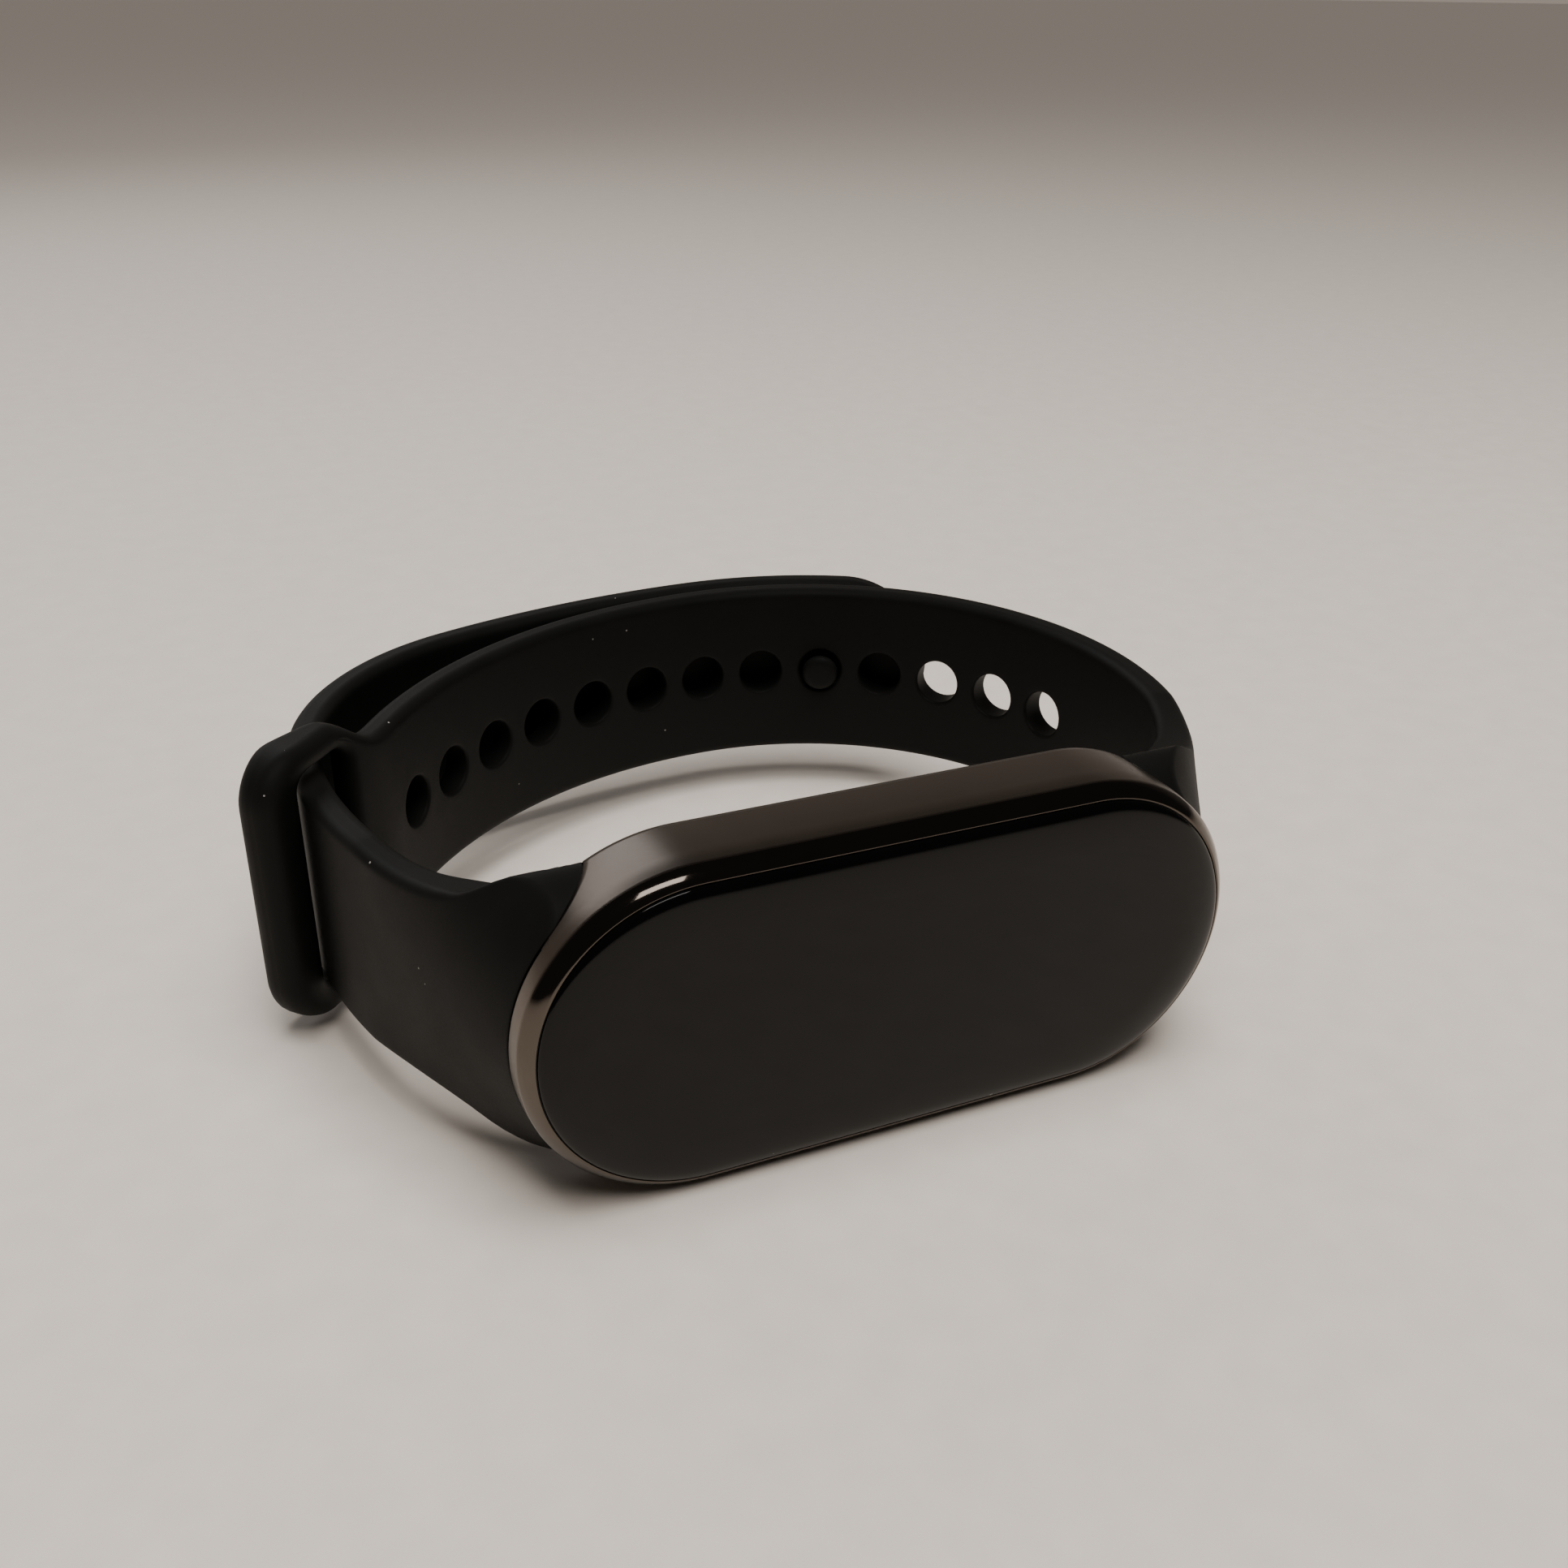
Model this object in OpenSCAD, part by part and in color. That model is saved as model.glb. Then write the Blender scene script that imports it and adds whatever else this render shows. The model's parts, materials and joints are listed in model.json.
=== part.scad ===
// Fitness tracker band, fastened into a loop and lying on its side.
// Millimetres. +X runs along the display, +Y from the display to the clasp and
// +Z up, across the strap. The origin is on the resting surface, under the middle
// of the tracker body's straight side.

/* [Tracker body] */
// Length of the tracker body
body_len = 48; // [40:0.5:58]
// Width of the tracker body, across the strap
body_w = 22.5; // [19:0.5:27]
// Height of the straight part of the side wall
side_flat = 3.7; // [3.1:0.1:4.4]
// Rise of the rim from the side wall to the glass edge
rim_rise = 2.1; // [1.8:0.1:2.5]
// Crown of the glass above its edge
glass_crown = 0.6; // [0.4:0.05:0.7]
// Depth of the back cover behind the side wall
back_depth = 4.1; // [3.8:0.1:4.9]
// Rise of the sensor window behind the back cover
sensor_rise = 0.5; // [0.3:0.05:0.6]
// Wall of the back cover
cover_wall = 0.9; // [0.75:0.05:1.1]

/* [Display] */
// Width of the metal lip round the glass, seen from the front
lip_w = 1.05; // [0.9:0.05:1.3]
// Thickness of the cover glass at its edge
glass_edge = 1.1; // [0.9:0.1:1.2]
// Thickness of the display panel
panel_t = 0.9; // [0.7:0.1:1.0]
// Length of the display panel
panel_len = 38.6; // [32:0.2:40]
// Width of the display panel
panel_w = 15.4; // [13:0.2:16]

/* [Straps] */
// Width of both straps
strap_w = 15; // [12.5:0.5:16]
// Thickness of both straps
strap_t = 2.2; // [1.8:0.02:2.66]
// Width of the straps where they meet the body
root_w = 19.3; // [17.5:0.1:20]
// Inside depth of the band, from the side wall's middle to the clasp
band_depth = 45.15; // [40:0.05:54.5]
// How far the crown of the band lies to the side of the display's middle
crown_x = 5.5; // [4:0.5:7]
// How far the stud strap bulges past the end of the body
side_bulge = 7.5; // [6.5:0.1:9]
// Gap between the two layers of strap
lay_gap = 0.15; // [0.12:0.01:0.2]

/* [Clasp] */
// Number of adjustment holes
hole_count = 13; // [9:2:13]
// Distance between holes, along the strap's middle
hole_pitch = 5.5; // [4.6:0.1:5.6]
// Radius of the holes
hole_r = 1.9; // [1.6:0.05:2.3]
// Holes between the crown of the band and the stud
stud_step = 2; // [1:1:3]
// Thickness of the loop's arms, across the strap
loop_arm = 2; // [1.6:0.1:2.4]
// Radius of the loop's bar
bar_r = 1.7; // [1.4:0.1:1.8]
// Play round the stud strap inside the loop
loop_play = 0.6; // [0.4:0.1:0.8]

/* [Quick release] */
// Travel of each release button
latch_travel = 0.6; // [0.5:0.05:0.7]
// Width of each release latch
latch_w = 4.2; // [3.5:0.1:5]

/* [Inside] */
// Length of the battery
battery_len = 21; // [17:0.5:22]
// Width of the battery
battery_w = 13; // [11:0.5:13.5]
// Thickness of the battery
battery_t = 3.4; // [2.8:0.1:3.4]
// Radius of the optical sensor window
window_r = 5.2; // [4.4:0.1:6]

/* [Hidden] */
$fn = 64;
fit = 0.05;                                // close fit between two pieces of one body
eps = 0.01;                                // overrun of a cut past a face

// Body, with heights measured towards the display from the side wall's middle.
body_r = body_w / 2;
half_spine = (body_len - body_w) / 2;      // from the middle to an end's centre of roundness
mid_z = body_w / 2;                        // height of the body's middle over the surface
shoulder_h = side_flat / 2;
edge_h = shoulder_h + rim_rise;            // the glass edge
front_h = edge_h + glass_crown;
skirt_h = -side_flat / 2;                  // where the back cover starts
back_h = skirt_h - back_depth;
glass_r = body_r - lip_w;
glass_under_h = edge_h - glass_edge;
tape_t = 0.1;                              // glass and battery adhesive
ledge_h = glass_under_h - tape_t;
ledge_t = 0.6;
ledge_r = glass_r - 1.2;
wall_r = body_r - 1.6;                     // inner face of the frame
seat_r = body_r - 1;                       // the strap ends sit against this face
cover_r = body_r - 0.2;                    // the back cover at its edge
cover_flat_r = body_r - 4.9;               // the back cover's flat
cover_pull = 0.51;                         // how far its shoulder is drawn in, as a share of the way

// Strap ends.
ear_h = shoulder_h - 0.25;                 // front edge of the strap ends
ear_depth = 3.65;                          // height over which the ears are rounded
ear_drop = 3;                              // width taken off by that rounding
root_y = 4.65;                             // inner face of a strap at the body
flare_from = 2.05;                         // the straps are widest up to here
flare_to = 13;                             // and have their own width from here
flare_power = 2.4;                         // how fast they narrow at first
root_to = 13.5;                            // the thick ends run up to here
half_strap = strap_w / 2;
edge_round = 0.7;
hair = 0.02;                               // step between two stretches of a strap
lap = 0.35;                                // length by which one stretch runs into the next
end_x = body_len / 2;

// Hole strap: arc 1 from the right end to the crown, arc 2 past the crown, and arc 3
// bending the other way to the loop. All radii are at the strap's middle.
crown_y = band_depth + strap_t / 2;
right_dx = end_x - crown_x;
arc1_r = (right_dx * right_dx + pow(band_depth - root_y, 2)) / (2 * (band_depth - root_y)) + strap_t / 2;
arc1_c = [crown_x, crown_y - arc1_r];

// Stud strap: arc 1 from the left end to its furthest point, arc 2 round the corner
// and arc 3 to the crown, where the tail follows the hole strap.
left_x = -(end_x + side_bulge) + strap_t / 2;
left_y = band_depth - 19.6;
stud_root_x = -end_x - 0.6 + strap_t / 2;
stud_root_y = root_y - 1.6;
stud1_r = (pow(stud_root_x - left_x, 2) + pow(left_y - stud_root_y, 2)) / (2 * (stud_root_x - left_x));
stud1_c = [left_x + stud1_r, left_y];
stud2_r = 20.4;
stud2_c = [left_x + stud2_r, left_y];
tail_r = arc1_r + strap_t + lay_gap;
stud3_y = arc1_c[1] + tail_r;
stud3_dx = crown_x - stud2_c[0];
stud3_dy = stud3_y - stud2_c[1];
stud3_r = (stud3_dx * stud3_dx + stud3_dy * stud3_dy - stud2_r * stud2_r) / (2 * (stud3_dy - stud2_r));
stud3_c = [crown_x, stud3_y - stud3_r];
stud_turn = atan2(stud2_c[1] - stud3_c[1], stud2_c[0] - stud3_c[0]);

// Loop at the end of the hole strap. Its frame is flat, and the stud strap crosses it.
loop_tilt = 42;                            // slope of the frame against the X axis
loop_dir = [-cos(loop_tilt), -sin(loop_tilt)];
loop_out = [-sin(loop_tilt), cos(loop_tilt)];
cross_at = 4.9;                            // from the frame's start to the stud strap
loop_start = [left_x, left_y - 1.2] - cross_at * loop_dir;
loop_t = 2.4;
arc3_r = 12;
arc3_c = loop_start + arc3_r * loop_out;
arc3_k = arc3_c[1] - crown_y;
arc2_r = (pow(arc3_c[0] - crown_x, 2) + arc3_k * arc3_k - arc3_r * arc3_r) / (2 * (arc3_r - arc3_k));
arc2_c = [crown_x, crown_y - arc2_r];
arc2_end = atan2(arc3_c[1] - arc2_c[1], arc3_c[0] - arc2_c[0]);
arc3_from = arc2_end - 180;
arc3_to = loop_tilt - 90;
arc2_len = arc2_r * (arc2_end - 90) * PI / 180;
window_half = half_strap + loop_play + 0.1;
loop_half = window_half + loop_arm;
window_from = 1.9;
bar_at = cross_at + (strap_t / 2 + bar_r + 0.15) / cos(loop_tilt);

// Where the straps leave their ends: angles of arc 1 of each.
root_join = asin((root_to - arc1_c[1]) / arc1_r);
stud_join = 180 + asin((left_y - root_to) / stud1_r);

// Tail and stud.
stud_s = -stud_step * hole_pitch;
stud_angle = 90 + turn(stud_s, arc1_r);
tip_angle = stud_angle - turn(2, tail_r);
neck_r = hole_r - 0.7;
snap_r = hole_r - 0.35;
snap_t = 0.7;
cap_r = 2.9;
cap_t = 1.2;
cap_seat = strap_t / 2 - cap_t + 0.15;     // foot of the cap, out from the tail's middle
rivet_r = 0.6;

// Quick release, in heights towards the display. The pocket opens just inside the skirt.
pocket_floor = skirt_h + fit;
arm_t = 0.7;
arm_h = pocket_floor + fit;                // wrist side of the latch's arm
roof_t = 0.4;                              // roof of the clip over the latch
spring_t = 0.12;
spring_room = 0.45;                        // height of the flattened spring
pocket_roof = arm_h + arm_t + latch_travel + spring_room + roof_t + fit;
pocket_half = 5;
pocket_x = end_x - 4.6;
tongue_x = pocket_x + 0.2;
nose_x = pocket_x + 0.5;
nose_len = 1;
stem_x = end_x - 1.4;
stem_len = 0.7;
button_top = skirt_h - latch_travel - 0.55;
button_h = button_top - 2.4;
button_len = 1.2;
clip_inset = 0.15;                         // from the body's outline to the clip's end
flange_x = end_x - clip_inset;
flange_half = 6.6;
block_half = 6;
block_wall = 1;                            // wall of the frame under and over each pocket
slot_half = latch_w / 2 + 0.15;            // half width of the slots that the latch runs in

function lerp(a, b, t) = a + (b - a) * t;
function turn(len, r) = len / r * 180 / PI;
function on_arc(c, r, a) = c + r * [cos(a), sin(a)];

// [centre, radius, angle] of the hole strap's middle, s along it from the crown.
function strap_spot(s) =
    s <= 0 ? [arc1_c, arc1_r, 90 + turn(s, arc1_r)] :
    s <= arc2_len ? [arc2_c, arc2_r, 90 + turn(s, arc2_r)] :
    [arc3_c, -arc3_r, arc2_end - turn(s - arc2_len, arc3_r)];

// Half the straps' width, y behind the side wall's middle.
function strap_half(y) =
    let (wide = root_w / 2, ear_y = -ear_h + ear_depth,
         left = min(max((flare_to - y) / (flare_to - flare_from), 0), 1))
    y < ear_y ? wide - ear_drop * (1 - sqrt(max(0, 1 - pow((ear_y - y) / ear_depth, 2))))
              : lerp(half_strap, wide, pow(left, flare_power));

// A flat shape in the body's own frame: X along it, Y across it, Z to the display.
module in_body() {
    translate([0, 0, mid_z]) rotate([90, 0, 0]) children();
}

// Carries a profile, distance from the spine and height, all round a pill shape.
module pill_sweep(spine = half_spine) {
    for (side = [0, 180])
        rotate([0, 0, side]) translate([spine, 0, 0]) rotate([0, 0, -90])
            rotate_extrude(angle = 180) children();
    rotate([90, 0, 90]) linear_extrude(2 * spine, center = true) {
        children();
        mirror([1, 0]) children();
    }
}

// A pill-shaped plate of radius r between two heights.
module pill(r, low, high, spine = half_spine) {
    pill_sweep(spine) translate([0, low]) square([r, high - low]);
}

// A band of a pill shape between two radii and two heights.
module pill_band(r_in, r_out, low, high, spine = half_spine) {
    pill_sweep(spine) translate([r_in, low]) square([r_out - r_in, high - low]);
}

// A box from its lowest to its highest corner.
module block(low, high) {
    translate(low) cube(high - low);
}

// A rectangle with round corners, about the origin.
module round_rect(size, r) {
    square([size[0] - 2 * r, size[1]], center = true);
    square([size[0], size[1] - 2 * r], center = true);
    for (x = [-1, 1], y = [-1, 1])
        translate([x * (size[0] / 2 - r), y * (size[1] / 2 - r)]) circle(r);
}

// A slab with round corners, standing on z.
module slab(centre, size, r, z, t) {
    translate([centre[0], centre[1], z]) linear_extrude(t) round_rect(size, r);
}

// ---- tracker body ----

module frame() color([0.27, 0.24, 0.23]) in_body() difference() {
    union() {
        pill_sweep() polygon([
            [glass_r + fit, edge_h], [glass_r + 0.2, edge_h], [body_r - 0.45, edge_h - 0.5],
            [body_r - 0.2, edge_h - 1], [body_r - 0.05, shoulder_h + 0.45], [body_r, shoulder_h],
            [body_r, skirt_h], [wall_r, skirt_h], [wall_r, ledge_h - ledge_t],
            [ledge_r, ledge_h - ledge_t], [ledge_r, ledge_h], [glass_r + fit, ledge_h]]);
        for (side = [-1, 1]) intersection() {
            pill(wall_r + eps, pocket_floor - block_wall, pocket_roof + block_wall);
            translate([side * (end_x - 2.8), 0, 0]) cube([6, 2 * block_half, 20], center = true);
        }
    }
    for (side = [0, 1]) mirror([side, 0, 0]) {
        strap_seat();
        block([pocket_x, -pocket_half, pocket_floor], [end_x, pocket_half, pocket_roof]);
        block([nose_x - 0.15, -slot_half, pocket_floor - 0.65],
              [nose_x + nose_len + 0.15, slot_half, pocket_floor + eps]);
        block([stem_x - 0.1, -slot_half, skirt_h - 2], [end_x, slot_half, pocket_floor + eps]);
    }
}

// The room that a strap end takes in the side wall.
module strap_seat() {
    difference() {
        intersection() {
            block([0, -body_w, skirt_h - 1], [end_x + 1, body_w, ear_h + fit]);
            ear_room(fit);
        }
        pill(seat_r, skirt_h - 2, ear_h + 1);
    }
}

// The straps' width as an outline, drawn along X in the body's frame.
module ear_room(grow = 0) {
    ys = [for (i = [0:11]) -ear_h + i * ear_depth / 11];
    rotate([90, 0, 90]) linear_extrude(end_x + 20) polygon(concat(
        [for (y = ys) [-(strap_half(y) + grow), -y]],
        [[-(root_w / 2 + grow), skirt_h - 2], [root_w / 2 + grow, skirt_h - 2]],
        [for (i = [len(ys) - 1:-1:0]) [strap_half(ys[i]) + grow, -ys[i]]]));
}

module cover_glass() color([0.03, 0.03, 0.035]) in_body() {
    crown_w = 3.2;                         // width over which the glass curves down
    steps = 8;
    pill_sweep() polygon(concat(
        [[0, glass_under_h], [glass_r, glass_under_h]],
        [for (i = [0:steps]) let (a = 90 * i / steps)
            [glass_r - crown_w * (1 - cos(a)), edge_h + glass_crown * sin(a)]],
        [[0, front_h]]));
}

module glass_adhesive() color([0.1, 0.1, 0.1]) in_body()
    pill_band(ledge_r + 0.2, glass_r - 0.1, ledge_h, glass_under_h);

panel_spine = (panel_len - panel_w) / 2;
panel_under_h = glass_under_h - panel_t;

module display_panel() color([0.05, 0.06, 0.06]) in_body()
    pill(panel_w / 2, panel_under_h, glass_under_h, panel_spine);

board_t = 0.6;
chip_t = 0.5;
carrier_t = 0.5;
head_t = 0.35;                             // height of a carrier screw's head
carrier_h = panel_under_h - head_t - carrier_t;
board_h = carrier_h - 0.1 - chip_t - board_t;   // wrist side of the main board
board_r = wall_r - 1.3;
inner_half = end_x - 6.1;                  // the strap blocks start here
flex_x = -inner_half + 1.6;

module display_flex() color([0.55, 0.35, 0.1]) in_body() {
    block([flex_x - 0.6, -2.5, panel_under_h - 0.12], [flex_x + 3, 2.5, panel_under_h]);
    block([flex_x - 0.6, -2.5, board_h + board_t + 0.5], [flex_x - 0.48, 2.5, panel_under_h]);
    block([flex_x - 0.6, -2.5, board_h + board_t + 0.38], [flex_x + 0.9, 2.5, board_h + board_t + 0.5]);
}

// The plate that spans the body under the display, with two feet for its screws.
screw_r = 0.48;
foot_r = 1.1;
screw_spots = [for (x = [-1, 1]) [x * (inner_half - 1.3), -x * 5.6]];

module inner_carrier() color([0.16, 0.16, 0.17]) in_body() difference() {
    union() {
        intersection() {
            pill(wall_r - 0.25, carrier_h, carrier_h + carrier_t);
            block([-inner_half, -body_w, carrier_h - 1], [inner_half, body_w, carrier_h + 2]);
        }
        for (p = screw_spots)
            translate([p[0], p[1], board_h + board_t]) 
                cylinder(h = carrier_h - board_h - board_t + eps, r = foot_r);
    }
    for (p = screw_spots)
        translate([p[0], p[1], board_h]) cylinder(h = 4, r = screw_r + 0.02);
    block([flex_x - 1, -3, carrier_h - 1], [flex_x + 1.2, 3, carrier_h + 1]);
    block([-4, -1.6, carrier_h - 1], [6, 1.6, carrier_h + 1]);
}

module carrier_screws() color([0.7, 0.7, 0.72]) in_body()
    for (p = screw_spots) translate([p[0], p[1], 0]) {
        translate([0, 0, board_h + 0.1]) 
            cylinder(h = carrier_h + carrier_t - board_h - 0.1, r = screw_r);
        difference() {
            translate([0, 0, carrier_h + carrier_t]) cylinder(h = head_t - 0.02, r = 0.9);
            translate([0, 0, carrier_h + carrier_t + 0.2]) cylinder(h = 1, r = 0.35, $fn = 6);
        }
    }

module antenna() color([0.72, 0.5, 0.2]) in_body() intersection() {
    pill_band(wall_r - 0.5, wall_r - 0.3, groove_h + 0.5, carrier_h);
    block([-inner_half + 2, 0, -2], [inner_half - 4, body_w, 2]);
}

module main_board() color([0.05, 0.2, 0.12]) in_body() difference() {
    intersection() {
        pill(board_r, board_h, board_h + board_t);
        block([-inner_half + 0.2, -body_w, -3], [inner_half - 0.2, body_w, 3]);
    }
    for (p = screw_spots)
        translate([p[0], p[1], board_h - 1]) cylinder(h = 3, r = screw_r + 0.07);
}

// The chips' places are given for a body of this length and width, and spread with it.
plan = [48, 22.5];
spread = [body_len / plan[0], body_w / plan[1]];
can_y = -3.6;
can_wall = 0.15;

module board_chips() color([0.08, 0.08, 0.09]) in_body()
    for (c = [[-8.5, 4.4, 3, 2.6], [8.4, -4.6, 2.6, 2.2], [13.2, 2.2, 2, 2], [11.2, 5.2, 1.6, 1.2],
              [-11.8, -3.6, 1.6, 2.2], [9.2, 4.6, 1.2, 1.8], [12.8, -3.4, 1, 1.6]])
        translate([c[0] * spread[0], c[1] * spread[1], board_h + board_t + chip_t * 0.4])
            cube([c[2], c[3], chip_t * 0.8], center = true);

module shield_can() color([0.72, 0.72, 0.74]) in_body() difference() {
    slab([0, can_y * spread[1]], [10, 5.4], 0.5, board_h + board_t, chip_t);
    slab([0, can_y * spread[1]], [10 - 2 * can_wall, 5.4 - 2 * can_wall], 0.5 - can_wall,
         board_h + board_t - eps, chip_t - can_wall);
}

module board_connectors() color([0.15, 0.12, 0.1]) in_body() {
    translate([flex_x + 0.2, 0, board_h + board_t + 0.19]) cube([1.4, 4.6, 0.38], center = true);
    translate([10.5 * spread[0], 0, board_h + board_t + 0.2]) cube([1.6, 3.4, 0.4], center = true);
}

module light_sensor() color([0.3, 0.3, 0.28]) in_body()
    translate([inner_half - 2.4, 3.2, board_h + board_t + 0.25]) cube([1.4, 1, 0.5], center = true);

battery_x = -inner_half + 1 + battery_len / 2;
battery_h = board_h - tape_t - battery_t;

module battery() color([0.75, 0.76, 0.78]) in_body()
    slab([battery_x, 0], [battery_len, battery_w], 1, battery_h, battery_t);

module battery_tape() color([0.85, 0.8, 0.6]) in_body()
    slab([battery_x, 0], [battery_len - 2, battery_w - 2], 1, board_h - tape_t, tape_t);

// Vibration motor beside the battery: a can, and a shaft with a weight to one side.
motor_r = 1.7;
motor_len = 4.2;
motor_x = battery_x + battery_len / 2 + 0.9;
motor_y = 3.2;
motor_h = board_h - motor_r;
shaft_r = 0.35;
weight_len = 2;

module along_motor(from)
    in_body() translate([motor_x + from, motor_y, motor_h]) rotate([0, 90, 0]) children();

module motor_case() color([0.7, 0.71, 0.73]) along_motor(0) difference() {
    cylinder(h = motor_len, r = motor_r);
    translate([0, 0, 1]) cylinder(h = motor_len, r = shaft_r + fit);
}

module motor_rotor() color([0.45, 0.44, 0.42]) {
    along_motor(1.2) cylinder(h = motor_len + weight_len - 0.9, r = shaft_r);
    along_motor(motor_len + 0.3) intersection() {
        cylinder(h = weight_len, r = motor_r - 0.1);
        translate([-shaft_r, -motor_r, -1]) cube([2 * motor_r, 2 * motor_r, weight_len + 2]);
    }
}

// ---- optical sensor and back ----
floor_h = back_h + cover_wall;             // inside of the back cover
barrier_t = 0.55;

module sensor_board() color([0.04, 0.05, 0.05]) in_body()
    translate([0, 0, floor_h + barrier_t]) cylinder(h = 0.25, r = window_r + 0.6);

led_spots = [for (x = [-1, 1]) [x * 1.1, 0]];
led_size = [0.9, 1.4];
diode_spots = [for (x = [-1, 1]) [x * (window_r - 1.7), 0]];
diode_size = [1.2, 2.4];
sensor_t = 0.4;                            // height of the LEDs and the photodiodes

// A sensor chip of a size, hanging from the sensor board at a place.
module sensor_chip(place, size)
    translate([place[0], place[1], floor_h + barrier_t - sensor_t / 2])
        cube([size[0], size[1], sensor_t], center = true);

module sensor_leds() color([0.3, 0.75, 0.35]) in_body()
    for (p = led_spots) sensor_chip(p, led_size);

module sensor_photodiodes() color([0.2, 0.16, 0.14]) in_body()
    for (p = diode_spots) sensor_chip(p, diode_size);

module light_barrier() color([0.06, 0.06, 0.06]) in_body() difference() {
    translate([0, 0, floor_h]) cylinder(h = barrier_t, r = window_r + 0.5);
    translate([0, 0, floor_h - 1]) linear_extrude(3) {
        round_rect([led_spots[1][0] * 2 + led_size[0] + 1.3, led_size[1] + 1.8], 0.4);
        for (p = diode_spots) translate(p) round_rect([diode_size[0] + 0.6, diode_size[1] + 0.6], 0.3);
    }
}

// The window: a disc in a stepped hole of the back cover, crowned on the wrist side.
window_lip = 0.5;

module sensor_window() color([0.12, 0.12, 0.13]) in_body() {
    steps = 6;
    crown = 2.4;                           // width over which the window curves down
    rotate_extrude() polygon(concat(
        [[0, floor_h], [window_r + window_lip, floor_h],
         [window_r + window_lip, floor_h - 0.35], [window_r, floor_h - 0.35]],
        [for (i = [0:steps]) let (a = 90 * i / steps)
            [window_r - crown * (1 - cos(a)), back_h - sensor_rise * sin(a)]],
        [[0, back_h - sensor_rise]]));
}

module window_adhesive() color([0.7, 0.7, 0.66]) in_body() difference() {
    translate([0, 0, floor_h - 0.42]) cylinder(h = 0.07, r = window_r + window_lip - 0.05);
    translate([0, 0, floor_h - 1]) cylinder(h = 2, r = window_r + 0.05);
}

contact_r = 0.9;
contact_spots = [for (y = [-1, 1]) [-(window_r + 5.6), y * 2.1]];

module charge_contacts() color([0.83, 0.68, 0.4]) in_body()
    for (p = contact_spots) translate(p) {
        translate([0, 0, back_h + 0.05]) cylinder(h = cover_wall + 0.35, r = contact_r);
        translate([0, 0, floor_h + 0.05]) cylinder(h = 0.3, r = contact_r + 0.35);
    }

module contact_seals() color([0.2, 0.2, 0.2]) in_body()
    for (p = contact_spots) translate([p[0], p[1], floor_h - 0.3]) difference() {
        cylinder(h = 0.3, r = contact_r + 0.3);
        translate([0, 0, -1]) cylinder(h = 2, r = contact_r + 0.01);
    }

lip_r = wall_r - 0.12;                     // locating lip of the back cover, inside the frame
lip_t = 0.8;
groove_h = skirt_h + 0.55;

module back_seal() color([0.25, 0.25, 0.26]) in_body() difference() {
    pill_band(lip_r - 0.4, wall_r - 0.02, groove_h, groove_h + 0.4);
    end_blocks_room();
}

module end_blocks_room()
    for (side = [-1, 1])
        translate([side * end_x, 0, 0]) cube([12.4, 2 * block_half + 0.4, 20], center = true);

module back_cover() color([0.05, 0.05, 0.055]) in_body() difference() {
    union() {
        pill_sweep() polygon(concat(cover_curve(0, cover_flat_r, cover_r), [[0, skirt_h]]));
        difference() {
            pill_band(lip_r - lip_t, lip_r, skirt_h - eps, groove_h + 0.1);
            end_blocks_room();
        }
    }
    pill_sweep() polygon(concat(cover_curve(cover_wall, cover_flat_r - 0.1, lip_r - lip_t),
        [[lip_r - lip_t, skirt_h + 2], [0, skirt_h + 2]]));
    for (side = [0, 1]) mirror([side, 0, 0]) {
        intersection() {
            pill(wall_r + 0.1, pocket_floor - block_wall - 0.1, skirt_h + 1);
            translate([end_x, 0, 0]) cube([12.2, 2 * block_half + 0.3, 20], center = true);
        }
        block([stem_x - 0.25, -slot_half, back_h - 3], [end_x, slot_half, skirt_h + 1]);
    }
    pill_band(lip_r - 0.42, lip_r + 1, groove_h, groove_h + 2);
    translate([0, 0, back_h - 1]) cylinder(h = 4, r = window_r + 0.03);
    translate([0, 0, floor_h - 0.42]) cylinder(h = 1, r = window_r + window_lip + 0.03);
    for (p = contact_spots) translate(p) {
        translate([0, 0, back_h - 1]) cylinder(h = 4, r = contact_r + 0.02);
        translate([0, 0, floor_h - 0.3]) cylinder(h = 1, r = contact_r + 0.32);
    }
}

// A face of the back cover's section: flat out to one radius, then on a Bezier curve to another.
function cover_curve(wall, flat_r, edge_r) =
    let (steps = 10, pull_r = lerp(edge_r, flat_r, cover_pull))
    concat([[0, back_h + wall]],
        [for (i = [0:steps]) let (t = i / steps)
            [(1 - t) * (1 - t) * flat_r + 2 * t * (1 - t) * pull_r + t * t * edge_r,
             lerp(back_h + wall, skirt_h, t * t)]]);

// ---- quick release: a hard clip in each strap end, with a sprung latch ----

module clip() color([0.18, 0.18, 0.19]) difference() {
    intersection() {
        union() {
            block([tongue_x, -pocket_half + 0.1, pocket_floor + fit],
                  [flange_x, pocket_half - 0.1, pocket_roof - fit]);
            block([seat_r + half_spine + fit, -flange_half, pocket_floor + fit],
                  [flange_x, flange_half, pocket_roof - fit]);
        }
        pill(body_r - clip_inset, pocket_floor, pocket_roof);
    }
    block([tongue_x - 1, -slot_half, pocket_floor - 5],
          [stem_x + stem_len + 0.1, slot_half, pocket_roof - fit - roof_t]);
}

module latch() color([0.1, 0.1, 0.1]) {
    block([nose_x, -latch_w / 2, arm_h - 0.5], [nose_x + nose_len, latch_w / 2, arm_h + arm_t]);
    block([nose_x, -latch_w / 2, arm_h], [stem_x + stem_len, latch_w / 2, arm_h + arm_t]);
    block([stem_x, -latch_w / 2, button_top - eps], [stem_x + stem_len, latch_w / 2, arm_h + arm_t]);
    block([stem_x - 0.1, -latch_w / 2, button_h], [stem_x - 0.1 + button_len, latch_w / 2, button_top]);
}

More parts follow.
